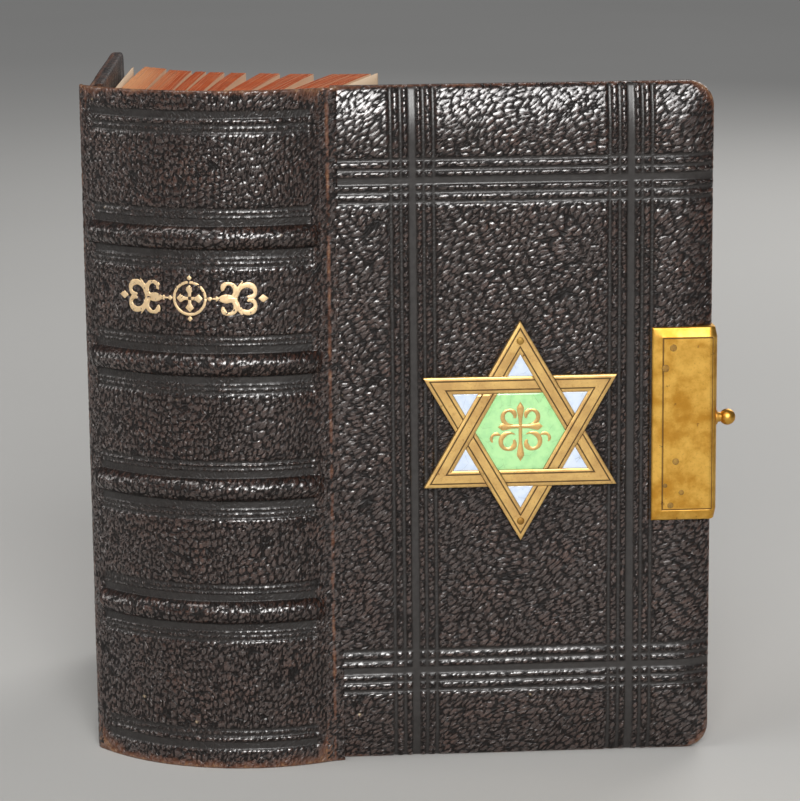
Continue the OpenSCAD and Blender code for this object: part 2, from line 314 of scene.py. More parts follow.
# %% The finish class
class Finish:
    """One material, and the ways of adding nodes to it."""

    def __init__(self, name):
        self.material = bpy.data.materials.new(name)
        self.material.use_nodes = True
        self.tree = self.material.node_tree
        self.shader = self.tree.nodes["Principled BSDF"]

    def node(self, kind, settings=None, inputs=None, out=0):
        """Adds a node: its settings first, then a value or a wire for each named input."""
        node = self.tree.nodes.new("ShaderNode" + kind)
        for key, value in (settings or {}).items():
            setattr(node, key, value)
        for key, value in (inputs or {}).items():
            if isinstance(value, Wire):
                self.tree.links.new(value.socket, node.inputs[key])
            else:
                node.inputs[key].default_value = value
        return Wire(self, node.outputs[out])

    def mark(self, name, vector=False):
        """A mark that the mesh maker stored on the points."""
        return self.node("Attribute", {"attribute_name": name}, out="Vector" if vector else "Fac")

    def mix(self, one, other, share):
        """Blends two colours; share is how much of the other."""
        colours = [(*c, 1.0) if isinstance(c, tuple) else c for c in (one, other)]
        inputs = {0: share, 6: colours[0], 7: colours[1]}
        return self.node("Mix", {"data_type": "RGBA"}, inputs, out=2)

    def stretch(self, vector, size, turn=(0, 0, 0)):
        """The same places, turned, then counted in steps of the given sizes."""
        inputs = {"Vector": vector, "Rotation": turn, "Scale": size}
        return self.node("Mapping", {"vector_type": "TEXTURE"}, inputs)

    def noise(self, vector, scale, detail=3.0, roughness=0.55):
        """Cloudy noise; scale is how many clouds there are to a unit of the vector."""
        inputs = {"Vector": vector, "Scale": scale, "Detail": detail, "Roughness": roughness}
        return self.node("TexNoise", None, inputs)

    def bump(self, height, distance, strength=1.0, under=None):
        """A surface normal bent by heights, on top of another bump if one is given."""
        inputs = {"Height": height, "Distance": distance * MM, "Strength": strength}
        if under:
            inputs["Normal"] = under
        return self.node("Bump", None, inputs)

    def wear_it(self, **sockets):
        """Sets the sockets of the Principled shader and gives back the material."""
        for name, value in sockets.items():
            socket = self.shader.inputs[name.replace("_", " ").title().replace("Ior", "IOR")]
            if isinstance(value, Wire):
                self.tree.links.new(value.socket, socket)
            else:
                socket.default_value = (*value, 1.0) if isinstance(value, tuple) else value
        return self.material


print("a finish can add marks, mixes, noise and bumps")

# %% [markdown]
# ## Morocco leather
# The leather was dyed near black, and a century of hands has polished the tops of its grain
# and rubbed the edges back to red-brown and tan. The mesh already holds the big pebbles, so
# the shader adds what is finer: hairline creases, pores, small rubbed flecks. The worn mark
# says where hands and shelves have rubbed; noise breaks its outline up. The polish is a clear
# coat that lies on the crests and leaves the creases matt. The colour is also painted near
# black in the creases and lighter on the crests: painted shade in the creases, with some
# rubbing on the crests.


# %% Leather finish
def leather_finish(name, rubbing=0.0):
    """Dyed leather, polished on the crests of its grain; rubbing wears it further all over."""
    leather = Finish(name)
    spot, lie = leather.mark("spot", vector=True), leather.mark("lie", vector=True)
    worn, tooled, grain = leather.mark("worn"), leather.mark("tooled"), leather.mark("grain")
    creases = leather.node("TexVoronoi", {"feature": "DISTANCE_TO_EDGE"}, {"Vector": lie, "Scale": 1.6})
    creases = creases.step(0.0, 0.2)
    pores = leather.noise(spot, 4.5, 4.0, 0.65)
    clouds = leather.noise(spot, 0.14, 3.0)
    patches = leather.noise(spot, 0.75, 5.0, 0.7)
    crest = (grain * 0.85 + creases * 0.25 - 0.3) * (1 - tooled)
    rubbed = (worn * 1.2 + patches * 0.85 + crest * 0.25 - 0.98 + rubbing).step(0.0, 0.5)
    bare = (worn * 1.1 + patches * 1.05 + pores * 0.3 - 1.62 + rubbing).step(0.0, 0.3)
    flecks = leather.node("TexVoronoi", {"feature": "F1"}, {"Vector": spot, "Scale": 0.075})
    flecks = (1 - flecks.step(0.022, 0.045)) * patches.step(0.45, 0.55) * (1 - tooled)
    # Near black in the creases and lighter on the crests: painted shade in the creases, with some real
    # rubbing on the crests.
    colour_with_painted_light = leather.mix((0.0028, 0.0009, 0.0004), (0.027, 0.0090, 0.0044), crest.step(0.05, 0.7))
    colour_with_painted_light = leather.mix(colour_with_painted_light, (0.075, 0.024, 0.010), clouds.step(0.42, 0.72) * crest.step(0.2, 0.9) * 0.85)
    # Grey patches along the tooled lines: a painted sheen.
    colour_with_painted_light = leather.mix(colour_with_painted_light, (0.034, 0.030, 0.028), tooled * (patches * 1.5 - 0.15))
    colour_with_painted_light = leather.mix(colour_with_painted_light, (0.115, 0.042, 0.020), rubbed * 0.85)
    colour_with_painted_light = leather.mix(colour_with_painted_light, (0.27, 0.145, 0.075), bare * 0.7)
    colour_with_painted_light = leather.mix(colour_with_painted_light, (0.55, 0.42, 0.27), flecks * 0.8)
    gloss = 0.5 - crest.step(0.0, 0.4) * 0.32 + pores * 0.12 - tooled * 0.16
    gloss = gloss + rubbed * 0.12 + bare * 0.1
    fine = leather.bump(pores * 0.6 + patches * 0.3, 0.05, 0.6)
    folds = leather.bump(creases * (1 - tooled * 0.92), 0.16, 0.9, fine)
    polish = crest.step(0.15, 0.6) * (0.95 - bare * 0.6) + tooled * 0.22
    return leather.wear_it(base_color=colour_with_painted_light, roughness=gloss, normal=folds, ior=1.42,
                           coat_weight=polish, coat_roughness=0.25, coat_ior=1.85)


morocco = leather_finish("morocco_leather")
joint_morocco = leather_finish("joint_leather", 0.08)
print("leather:", len(morocco.node_tree.nodes), "nodes")

# %% [markdown]
# ## Brass, enamel, paper and gold
# Old brass is golden where it is handled and brown in every corner, so its finish darkens the
# engraved lines that the mesh marks as ink. Enamel is coloured glass, glossy, with specks and
# hair cracks. The leaves were stained terracotta on their edges, which soaked a little way in,
# and a bundle of leaves shows as fine streaks. Gold leaf is thin, and broken over the grain.


# %% Metal and enamel finishes
def brass_finish(name="aged_brass", own_marks=True, pale=0.0):
    """Old brass; own_marks is False on solids of the frame, which carry no marks."""
    brass = Finish(name)
    spot, ink = brass.mark("spot", vector=True), brass.mark("ink")
    if not own_marks:
        spot = brass.stretch(brass.node("TexCoord", out="Object"), (MM, MM, MM))
    clouds = brass.noise(spot, 0.22, 4.0, 0.6)
    specks = brass.noise(spot, 1.6, 5.0, 0.7)
    scratches = brass.noise(brass.stretch(spot, (8.0, 0.3, 1.0), (0, 0, 0.5)), 1.4, 3.0)
    spots = brass.node("TexVoronoi", {"feature": "F1"}, {"Vector": spot, "Scale": 0.23})
    spots = (1 - spots.step(0.06, 0.13)) * specks.step(0.45, 0.6)
    tone = brass.mix((0.62, 0.295, 0.038), (0.89, 0.53, 0.115), clouds.step(0.3, 0.68))
    # pale lightens the whole tone: a painted highlight, used for the star.
    tone = brass.mix(tone, (0.95, 0.74, 0.42), pale)
    tone = brass.mix(tone, (0.50, 0.235, 0.045), specks.step(0.52, 0.78) * 0.7)
    tone = brass.mix(tone, (0.17, 0.07, 0.026), spots * 0.85)
    tone = brass.mix(tone, (0.045, 0.028, 0.012), ink * 0.92)
    gloss = 0.27 + clouds * 0.14 + specks * 0.1 + spots * 0.25 + ink * 0.3
    marks = brass.bump(scratches + specks * 0.5, 0.014, 0.6)
    return brass.wear_it(base_color=tone, metallic=1 - ink * 0.6, roughness=gloss, normal=marks)


def enamel_finish(name, light, deep, dirt):
    """Coloured glass with hair cracks and specks of dirt."""
    enamel = Finish(name)
    spot = enamel.node("TexCoord", out="Object")
    spot = enamel.stretch(spot, (MM, MM, MM))
    clouds = enamel.noise(spot, 0.5, 4.0)
    cracks = enamel.node("TexVoronoi", {"feature": "DISTANCE_TO_EDGE"}, {"Vector": spot, "Scale": 0.3})
    cracks = (1 - cracks.step(0.0, 0.018)) * clouds.step(0.45, 0.6)
    specks = enamel.noise(spot, 2.6, 2.0).step(0.72, 0.78)
    tone = enamel.mix(light, deep, clouds.step(0.35, 0.7))
    tone = enamel.mix(tone, dirt, cracks * 0.55 + specks * 0.5)
    surface = enamel.bump(clouds * 0.6 - cracks * 0.4, 0.03, 0.5)
    return enamel.wear_it(base_color=tone, roughness=0.13 + specks * 0.3, normal=surface,
                          coat_weight=0.5, coat_roughness=0.06)


brass = brass_finish()
# The star's brass is a paler copy of the same brass: a painted highlight.
star_brass_painted_highlight = brass_finish("star_brass_painted_highlight", pale=0.36)
white_enamel = enamel_finish("white_enamel", (0.68, 0.76, 0.88), (0.58, 0.68, 0.84), (0.28, 0.29, 0.31))
green_enamel = enamel_finish("green_enamel", (0.46, 0.80, 0.36), (0.36, 0.70, 0.31), (0.20, 0.34, 0.14))
print("brass:", len(brass.node_tree.nodes), "nodes, enamel:", len(white_enamel.node_tree.nodes))


# %% Gold and page-edge finishes
def gold_finish():
    """Gold leaf, broken where the grain has rubbed it away."""
    gold = Finish("gold_leaf")
    spot = gold.mark("spot", vector=True)
    rubbed = gold.noise(spot, 1.5, 4.0, 0.7)
    tone = gold.mix((0.90, 0.60, 0.30), (1.0, 0.80, 0.52), gold.noise(spot, 0.6))
    lost = rubbed.step(0.60, 0.68)
    tone = gold.mix(tone, (0.06, 0.03, 0.018), lost * 0.8)
    surface = gold.bump(rubbed, 0.04, 0.8)
    return gold.wear_it(base_color=tone, metallic=0.75 - lost * 0.7,
                        roughness=0.36 + rubbed * 0.2, normal=surface)


def edge_finish():
    """The cut and stained edges of the leaves."""
    edge = Finish("stained_page_edges")
    spot, leaf, faded = edge.mark("spot", vector=True), edge.mark("leaf"), edge.mark("faded")
    streaks = edge.noise(edge.stretch(spot, (0.11, 4.0, 4.0)), 1.0, 4.0, 0.6)
    clouds = edge.noise(spot, 0.11, 3.0)
    tone = edge.mix((0.20, 0.022, 0.003), (0.46, 0.066, 0.010), streaks * 0.6 + leaf * 0.4)
    tone = edge.mix(tone, (0.58, 0.120, 0.028), clouds.step(0.5, 0.78) * 0.5)
    tone = edge.mix(tone, (0.80, 0.42, 0.20), faded * 0.65)
    surface = edge.bump(streaks + leaf * 0.5, 0.06, 0.6)
    return edge.wear_it(base_color=tone, roughness=0.66 + streaks * 0.2, normal=surface, ior=1.12)


gold, page_edges = gold_finish(), edge_finish()
print("gold:", len(gold.node_tree.nodes), "nodes, page edges:", len(page_edges.node_tree.nodes))


# %% Paper and silk finishes
def paper_finish(name, pale, deep, stain=0.0):
    """The faces of leaves and endpapers, browned towards their margins."""
    paper = Finish(name)
    spot, margin = paper.mark("spot", vector=True), paper.mark("margin")
    fibres = paper.noise(spot, 2.2, 5.0, 0.7)
    clouds = paper.noise(spot, 0.06, 4.0)
    foxing = paper.noise(spot, 0.35, 3.0).step(0.66, 0.74)
    tone = paper.mix(pale, deep, clouds.step(0.35, 0.75) * 0.6 + fibres * 0.25)
    tone = paper.mix(tone, (0.56, 0.34, 0.17), foxing * 0.4 + margin * 0.35)
    tone = paper.mix(tone, (0.62, 0.26, 0.12), margin * stain)
    surface = paper.bump(fibres, 0.05, 0.5)
    return paper.wear_it(base_color=tone, roughness=0.72 + fibres * 0.12, normal=surface)


def silk_finish():
    """Silk thread in two colours, turn about."""
    silk = Finish("endband_silk")
    turn, spot = silk.mark("leaf"), silk.mark("spot", vector=True)
    fibres = silk.noise(silk.stretch(spot, (0.5, 0.17, 0.17)), 2.0, 3.0)
    tone = silk.mix((0.62, 0.50, 0.33), (0.30, 0.07, 0.045), turn.step(0.45, 0.55))
    tone = silk.mix(tone, (0.2, 0.14, 0.09), fibres * 0.4)
    return silk.wear_it(base_color=tone, roughness=0.5 + fibres * 0.2,
                        normal=silk.bump(fibres, 0.05, 0.6))


silk = silk_finish()
page = paper_finish("page_paper", (0.95, 0.73, 0.52), (0.87, 0.60, 0.40), 0.2)
endpaper = paper_finish("endpaper", (0.84, 0.66, 0.48), (0.72, 0.52, 0.34))
print("finishes:", ", ".join(material.name for material in bpy.data.materials))

# %% [markdown]
# ## The covers' leather
# On the book the leather is pared, pasted round the board and turned in, and the tooled lines
# are pressed in with a hot wheel. A bump map could fake all that, but the lines would have no
# sharp rims in raking light. So the outer face is a fine grid whose heights are worked out:
# the rounded margin, the lines, then the grain. Extra rows are put where each line's rim
# falls, which keeps the grid light and the rims crisp.

# %% Heights of a cover's face
step = 0.36
wide_line, thin_line = (0.8, 0.4), (0.3, 0.36)
pillow_w, pillow_end, pillow_drop, corner_r = 9.0, 12.5, 2.2, 5.5
tool_inset_u, tool_inset_v, group_half = 18.3, 20.4, 4.6
grain_height = 0.33
edge_steps = np.array([0.0, 0.05, 0.16, 0.34, 0.6, 0.9])
star_box = np.array(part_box("star_plate")) / MM
star_u = float((star_box.mean(0) - front.hinge) @ front.u)
star_v = float(star_box[:, 2].mean())


def line_group(centre):
    """A wide tooled line with two thin ones on each side: place, half width and depth."""
    return [(centre, *wide_line)] + [(centre + d, *thin_line)
                                     for d in (-group_half, -2.45, 2.45, group_half)]


def stations(low, high, lines, extra):
    """Even places from low to high, with extra ones at both rims of each tooled line."""
    rims = [c + s * (half + d) for c, half, _ in lines for s in (-1, 1) for d in (-0.08, 0.14)]
    fixed = [p for p in [*rims, *extra] if low <= p <= high]
    even = np.linspace(low, high, round((high - low) / step) + 1)
    return np.array(sorted([p for p in even if min(abs(p - f) for f in fixed) > step / 3] + fixed))


def tooling(x, lines):
    """Depth of the tooled lines at x."""
    return np.max([depth * (1 - smooth_step(half - 0.08, half + 0.45, np.abs(x - c)))
                   for c, half, depth in lines], axis=0)


def ironed(x, centres):
    """1 among a group of tooled lines, where the wheel has ironed the grain out."""
    nearest = np.min([np.abs(x - c) for c in centres], axis=0)
    return 1 - smooth_step(group_half, group_half + 0.6, nearest)


print("plain parts of a face have a point about every", step, "mm")


# %% Rounded margins and dust
def fall(d, width, drop):
    """How far a rounded edge has fallen at a distance d in from it."""
    r = (width ** 2 + drop ** 2) / (2 * drop)
    return r - np.sqrt(np.maximum(r * r - np.clip(width - d, 0, width) ** 2, 0))


def pillow(u, v):
    """How far the rounded margin has fallen at u, v."""
    fore = fall(cover_w - u, pillow_w, pillow_drop)
    end = fall(np.minimum(v, book_h - v), pillow_end, pillow_drop)
    return (fore ** 3 + end ** 3) ** (1 / 3)


thirds = np.radians([0, 120, 240])
star_in = float(star_box[1, 2] - star_box[0, 2]) / 4


def halo(u, v):
    """Dust round the star: 1 at its outline, fading over two millimetres."""
    triangles = [np.max([u * math.cos(a) + v * math.sin(a) for a in flip + thirds], axis=0)
                 for flip in np.radians([30, 90])]
    return np.exp(-np.maximum(np.minimum(*triangles) - star_in, 0) / 1.7)


print("a cover's margin falls", round(float(pillow(cover_w, star_v)), 2), "mm")


# %% The grid of a cover's face
def cover_grid(lines_u, lines_v):
    """Places u, v of a cover's face and how far each is from its edge, as grids."""
    ends_u = [*(joint_gap + edge_steps), *(cover_w - edge_steps), cover_w - corner_r]
    ends_v = [*edge_steps, *(book_h - edge_steps), corner_r, book_h - corner_r]
    us = stations(joint_gap, cover_w, lines_u, ends_u)
    vs = stations(0, book_h, lines_v, ends_v)
    u, v = np.meshgrid(us, vs, indexing="ij")
    # the grid's free corners are bent into quarter circles
    a = np.clip((u - cover_w + corner_r) / corner_r, 0, 1)
    b = np.clip((np.abs(v - book_h / 2) - book_h / 2 + corner_r) / corner_r, 0, 1)
    in_corner = (a > 0) & (b > 0)
    up = np.sign(v - book_h / 2)
    round_u = cover_w - corner_r + corner_r * a * np.sqrt(1 - b * b / 2)
    round_v = book_h / 2 + up * (book_h / 2 - corner_r + corner_r * b * np.sqrt(1 - a * a / 2))
    u, v = np.where(in_corner, round_u, u), np.where(in_corner, round_v, v)
    to_end = np.minimum(v, book_h - v)
    to_corner = corner_r - np.hypot(u - cover_w + corner_r, corner_r - to_end)
    edge = np.where(in_corner, to_corner, np.minimum(cover_w - u, to_end))
    return u, v, np.maximum(edge, 0)


def cover_wear(u, v, edge, dust, seed):
    """How worn a cover is: most at its edges and its free corners."""
    to_end = np.minimum(v, book_h - v)
    free_corner = np.hypot(cover_w - u, to_end)
    joint_corner = np.hypot(u - joint_gap, to_end)
    worn = 0.85 * np.exp(-edge / 0.8) + 0.75 * np.exp(-(free_corner / 5.5) ** 2)
    worn += 0.5 * np.exp(-(joint_corner / 5.0) ** 2) + 0.4 * np.exp(-(u - joint_gap) / 0.9)
    return np.clip((worn + 0.45 * dust) * (0.55 + 0.9 * ragged_noise(u, v, 2.2, seed + 1)), 0, 1)


print("each cover has", 2 * len(line_group(0)), "tooled lines each way")


# %% The edge and the back of a cover
ring_steps = [(0, -3.6), (0, -4.45), (0.16, -4.86), (0.55, -cover_t), (2.6, -cover_t)]


def inset_rings(loop):
    """Rings that carry a cover's rim down its edge and in behind it, as the leather turns in."""
    along = np.roll(loop, -1, 0) - np.roll(loop, 1, 0)
    out = np.stack([-along[:, 1], along[:, 0]], -1) / np.hypot(along[:, 0], along[:, 1])[:, None]
    rings = []
    for inset, height in ring_steps:
        ring = loop.copy()
        ring[:, :2] -= out * inset
        ring[:, 2] = height
        rings.append(ring)
    return rings


def skin_faces(rows, columns, rim, ring_count):
    """Faces of the outer grid, of the rings round its edge, and of the back."""
    count, m = rows * columns, len(rim)
    around = np.arange(m)
    faces = grid_faces(rows, columns)
    faces += np.stack([rim, np.roll(rim, -1), count + (around + 1) % m, count + around], -1).tolist()
    faces += grid_faces(ring_count, m, count, closed=True)
    faces.append((count + (ring_count - 1) * m + around).tolist())
    return faces


print("a cover's edge has", len(ring_steps), "rings")


# %% A cover's leather as one closed skin
def cover_leather(name, side, seed):
    """The leather of one cover: grain, tooled lines and rounded margins on a closed skin."""
    lines_u = line_group(tool_inset_u) + line_group(cover_w - tool_inset_u)
    lines_v = line_group(tool_inset_v) + line_group(book_h - tool_inset_v)
    u, v, edge = cover_grid(lines_u, lines_v)
    cut = np.maximum(tooling(u, lines_u), tooling(v, lines_v))
    tooled = (cut / wide_line[1]) ** 2
    smoothed = np.maximum(ironed(u, (tool_inset_u, cover_w - tool_inset_u)),
                          ironed(v, (tool_inset_v, book_h - tool_inset_v)))
    stretched = 0.5 * smooth_step(13, 9, np.minimum(v, book_h - v))
    dust = halo(u - star_u, v - star_v) if side is front else 0 * u
    lie = lie_of_grain(u, v, seed)
    grain = pebbles(*lie, seed) * (1 - 0.35 * dust)
    worn = cover_wear(u, v, edge, dust, seed)
    flatten = (1 - 0.95 * tooled) * (1 - 0.55 * smoothed) * (1 - stretched) * smooth_step(0, 0.8, edge)
    w = -pillow(u, v) - fall(edge, 0.9, 0.9) - fall(u - joint_gap, 0.4, 0.4) - cut
    w += grain_height * (grain - 0.6) * flatten
    w += 0.12 * (soft_noise(u / 9, v / 9, seed + 3) - 0.5) * (1 - tooled)
    flat = np.stack([u.ravel(), v.ravel(), w.ravel()], -1)
    rim = grid_rim(*u.shape)
    rings = inset_rings(flat[rim])
    places = np.concatenate([flat, *rings])
    rim_noise = [soft_noise(r[:, 0] / 0.8 + r[:, 2], r[:, 1] / 0.8 - r[:, 2], seed + 4) for r in rings]
    ring_wear = np.concatenate([0.35 * worn.ravel()[rim] + 0.45 * noise for noise in rim_noise])
    ring_grain = 0.05 + 0.6 * np.concatenate(rim_noise)
    ring_lies = [np.stack([r[:, 0], r[:, 1] + r[:, 2], r[:, 2] * 0], -1) for r in rings]
    lies = np.concatenate([np.stack([*lie, lie[0] * 0], -1).reshape(-1, 3), *ring_lies])
    marks = {"spot": places + [seed * 11.0, 0, 0],
             "lie": lies,
             "worn": np.r_[worn.ravel(), ring_wear],
             "tooled": np.r_[tooled.ravel(), np.zeros(len(ring_wear))],
             "grain": np.r_[grain.ravel(), ring_grain]}
    faces = skin_faces(*u.shape, rim, len(rings))
    piece = make_piece(name, side.place(*places.T), faces, side.body, marks)
    piece.data.materials.append(morocco)
    print(name, len(piece.data.vertices), "points")
    return piece


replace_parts(cover_leather("front_cover_leather", front, 3), "front_leather")
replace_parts(cover_leather("back_cover_leather", back, 4), "back_leather")

# %% [markdown]
# ## The spine
# The spine's leather is one skin, moulded over four cords that show as raised bands, and
# turned in at the head and the tail. It is a surface of turning, so it is made as one outline
# of radius and height, swept round the middle of the spine's circle. The bands sink away
# towards the joints, and the tooled lines beside them stop short, as the wheel was lifted.

# %% Bands and lines of the spine
reach = math.asin((half_spine - 0.3) / arc_r)
bands = [118.4 - 27.6 * i for i in range(4)]
band_w, band_rise, turned_r = 5.0, 1.7, 0.45
spine_lines = [(z + s * 3.4, *wide_line) for z in bands for s in (-1, 1)]
spine_lines += [(z + s * d, *thin_line) for z in bands for s in (-1, 1) for d in (4.9, 6.1)]
spine_lines += [(abs(end - 5.2), *wide_line) for end in (0, book_h)]
spine_lines += [(abs(end - d), *thin_line) for end in (0, book_h) for d in (7.5, 8.8)]


def on_spine(across, z, radius):
    """A point of the spine: distance round it from its middle, height, and radius."""
    angle = across / arc_r
    return np.stack([radius * np.sin(angle), arc_y - radius * np.cos(angle), z], -1)


def spine_wear(x, z, end, side_way, hump):
    """How worn the spine is: most at its head and tail, on the bands and beside the joints."""
    half_back = 27
    corner = np.hypot(end, (1 - side_way) * half_back)
    worn = 0.95 * np.exp(-end / 1.6) + 0.35 * hump ** 2 + 0.5 * smooth_step(0.9, 1.0, side_way)
    worn += 0.45 * np.exp(-(corner / 7) ** 2) + 0.25 * np.exp(-z / 8)
    return np.clip(worn * (0.5 + 0.95 * ragged_noise(x, z, 2.5, 8)), 0, 1)


print("bands at", [round(z, 1) for z in bands])


# %% The spine's leather
def spine_leather():
    """The leather of the spine: an outer face over the bands and a plain inner face."""
    turned = np.array([0.0, 0.03, 0.1, 0.23, turned_r])
    lip = fall(turned, turned_r, turned_r)
    humps = [z + s * d for z in bands for s in (-1, 1) for d in (0.6, 1.2, 1.7, 2.1, 2.4, 2.6)]
    zs = stations(0, book_h, spine_lines, [*turned, *(book_h - turned), *humps])
    xs = np.linspace(-reach, reach, round(2 * reach * arc_r / step)) * arc_r
    x, z = np.meshgrid(xs, zs, indexing="ij")
    side_way = np.abs(x) / (reach * arc_r)
    nearest = np.min([np.abs(z - band) for band in bands], axis=0)
    hump = np.clip(1 - (nearest / (band_w / 2)) ** 2, 0, 1) ** 0.8
    hump = hump * (1 - smooth_step(0.86, 0.975, side_way))
    cut = tooling(z, spine_lines) * (1 - smooth_step(0.86, 0.9, side_way))
    # The noise also weakens the painted grey sheen that the leather's colour lays on these lines.
    tooled = (cut / wide_line[1]) ** 2 * (0.5 + 0.4 * soft_noise(x / 6, z / 9, 21))
    lie = lie_of_grain(x, z, 7, curl=0.022)
    grain = pebbles(*lie, 7)
    end = np.minimum(z, book_h - z)
    worn = spine_wear(x, z, end, side_way, hump)
    flatten = (1 - 0.95 * cut / wide_line[1]) * smooth_step(0, 1, end) * (1 - 0.35 * hump)
    radius = arc_r + band_rise * hump - cut - fall(end, turned_r, turned_r)
    radius += grain_height * (grain - 0.6) * flatten
    radius += 0.16 * (soft_noise(x / 10, z / 10, 5) - 0.5) * (1 - tooled)
    inner_z = np.r_[book_h - turned[1:], 132, 100, 75, 50, 18, turned[:0:-1]]
    inner_r = arc_r - leather_t + np.r_[lip[1:], 0, 0, 0, 0, 0, lip[:0:-1]]
    spot = np.stack([x + 40, z, radius - arc_r], -1)
    inner_x = np.repeat(xs[:, None], len(inner_z), 1)
    inner_z, inner_r = (np.broadcast_to(row, inner_x.shape) for row in (inner_z, inner_r))
    points = np.concatenate([on_spine(x, z, radius), on_spine(inner_x, inner_z, inner_r)], 1)
    blank = np.zeros(inner_x.shape)
    inner_spot = np.stack([inner_x + 40, inner_z, blank - 1], -1)
    lies = np.concatenate([np.stack([*lie, lie[0] * 0], -1), inner_spot], 1)
    marks = {"spot": np.concatenate([spot, inner_spot], 1).reshape(-1, 3), "lie": lies.reshape(-1, 3),
             "worn": np.concatenate([worn, blank + 0.3], 1).ravel(),
             "tooled": np.concatenate([tooled, blank], 1).ravel(),
             "grain": np.concatenate([grain, blank + 0.6], 1).ravel()}
    piece = make_piece("spine_morocco", points.reshape(-1, 3), loft(points), "spine", marks)
    piece.data.materials.append(morocco)
    print("spine leather", len(piece.data.vertices), "points")
    return piece


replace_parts(spine_leather(), "spine_leather")


# %% The cords under the bands
def band_cord(number):
    """A cord of three twisted strands, thin enough to lie inside its band."""
    around = np.linspace(0, 2 * math.pi, 24, endpoint=False)
    turns = np.linspace(-0.84, 0.84, 220) * reach
    turn, a = np.meshgrid(turns, around, indexing="ij")
    taper = np.sqrt(np.clip(1 - (turn / (0.85 * reach)) ** 8, 0, 1))
    strands = 1 - 0.16 * np.abs(np.sin(1.5 * (a + turn * arc_r * 1.1)))
    wide = 1.5 * strands * taper * np.cos(a)
    high = 0.62 * strands * taper * np.sin(a)
    radius = arc_r + 0.4 + high
    points = on_spine(turn * arc_r, bands[number - 1] + wide, radius)
    piece = make_piece(f"band_cord_{number}", points.reshape(-1, 3), loft(points), "spine",
                       {"spot": points.reshape(-1, 3)})
    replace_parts(piece, f"band_core_{number}")
    return piece


cords = [band_cord(number) for number in range(1, 5)]
print("cords:", len(cords))

# %% [markdown]
# ## The leather in the joints
# Between the spine and each cover the leather bends at every opening, and it is the first
# place to rub through to rust brown. Here each strip is one fixed piece, made as the joint
# stands at rest and fastened to neither body: it runs from the spine's curve onto the cover,
# rounded at the bend. Behind, the last leaves turn about the same line, so that
# joint has two strips, one on each side of them.


# %% Joint strips
def joint_strip(name, side, hand, first, last):
    """A strip of leather across a joint, from first on the spine to last on the cover."""
    ss = np.linspace(first, last, 17)
    zs = np.r_[0.06, 0.25, np.arange(0.7, book_h - 0.5, step * 1.4), book_h - 0.25, book_h - 0.06]
    spine_way = np.array([math.cos(math.asin(half_spine / arc_r)) * hand, half_spine / arc_r, 0.0])
    spine_out = np.array([half_spine * hand, side.hinge[1] - arc_y, 0.0]) / arc_r
    s, z = np.meshgrid(ss, zs, indexing="ij")
    bend = 1.6
    share = smooth_step(-bend, bend, s)[..., None]
    rounding = np.clip(bend - np.abs(s), 0, bend) ** 2 / (4 * bend)
    left, right = np.minimum(s, 0) - rounding, np.maximum(s, 0) + rounding
    outwards = spine_out * (1 - share) + side.w * share
    lie = lie_of_grain(s + 17, z, 12)
    grain = pebbles(*lie, 12)
    fade = 1 - smooth_step(0.72, 1.0, np.abs(s) / max(abs(first), abs(last)))
    to_end = np.minimum(z, book_h - z)
    rise = 0.30 * fade - 0.2 + 0.18 * (grain - 0.6) * fade - fall(to_end, 0.5, 0.4)
    middle = side.hinge + left[..., None] * spine_way + right[..., None] * side.u
    curve = np.clip(-s, 0, 9) ** 2 / (2 * arc_r)
    middle = middle + z[..., None] * [0, 0, 1] - (curve * 0.9)[..., None] * spine_out
    top = middle + rise[..., None] * outwards
    under = middle - 0.62 * outwards
    points = np.concatenate([top, under[:, ::-1]], 1)
    ragged = soft_noise(s + 5, z / 3, 6) * 0.6 + soft_noise(s * 2 + 9, z / 0.9, 5) * 0.4
    worn = np.clip(np.exp(-(s / 0.55) ** 2) * (1.35 * ragged - 0.05) + 0.08, 0, 1)
    worn = np.maximum(worn, np.exp(-to_end / 1.2) * (0.5 + ragged))
    spot = np.stack([s + 90 * hand, z, rise], -1)
    lies = np.stack([*lie, s * 0], -1)
    marks = {"spot": np.concatenate([spot, spot[:, ::-1]], 1).reshape(-1, 3),
             "lie": np.concatenate([lies, lies[:, ::-1]], 1).reshape(-1, 3),
             "worn": np.concatenate([worn, worn[:, ::-1]], 1).ravel(),
             "tooled": np.zeros(points.shape[:2]).ravel(),
             "grain": np.concatenate([grain, grain[:, ::-1]], 1).ravel()}
    piece = make_piece(name, points.reshape(-1, 3), loft(points), None, marks)
    piece.data.materials.append(joint_morocco)
    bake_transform(piece)


joint_strip("front_joint_leather", front, 1, -2.2, 2.2)
joint_strip("back_joint_leather_a", back, -1, -2.2, 0.5)
joint_strip("back_joint_leather_b", back, -1, -0.5, 2.2)
print("three joint strips")

# %% [markdown]
# ## The leaves
# The book stands ajar, so its leaves have parted into eight clumps, with cream paper showing
# in the gaps between them. Their cut edges are stained terracotta. One block for each clump
# with lines painted on would look moulded. Separate thin sheets, each trimmed a little out of
# line with its neighbours, catch the light as paper does, and are still only a few points each.


# %% Leaves
def turn_about(points, pivot, degrees):
    """Points turned clockwise, seen from the head, about an upright line."""
    a = math.radians(-degrees)
    x, y = points[..., 0] - pivot[0], points[..., 1] - pivot[1]
    turned = [pivot[0] + x * math.cos(a) - y * math.sin(a), pivot[1] + x * math.sin(a) + y * math.cos(a)]
    return np.stack([*turned, points[..., 2]], -1)


leaf_w, fore_shift, root_r = 74.6, 9.0, arc_r - 2.7
sheet_t = 0.27
along_leaf = np.array([0.0, 0.1, 0.22, 0.4, 0.6, 0.8, 0.97, 1.0])
from_edge = np.array([0.0, 5.0, 22.0])


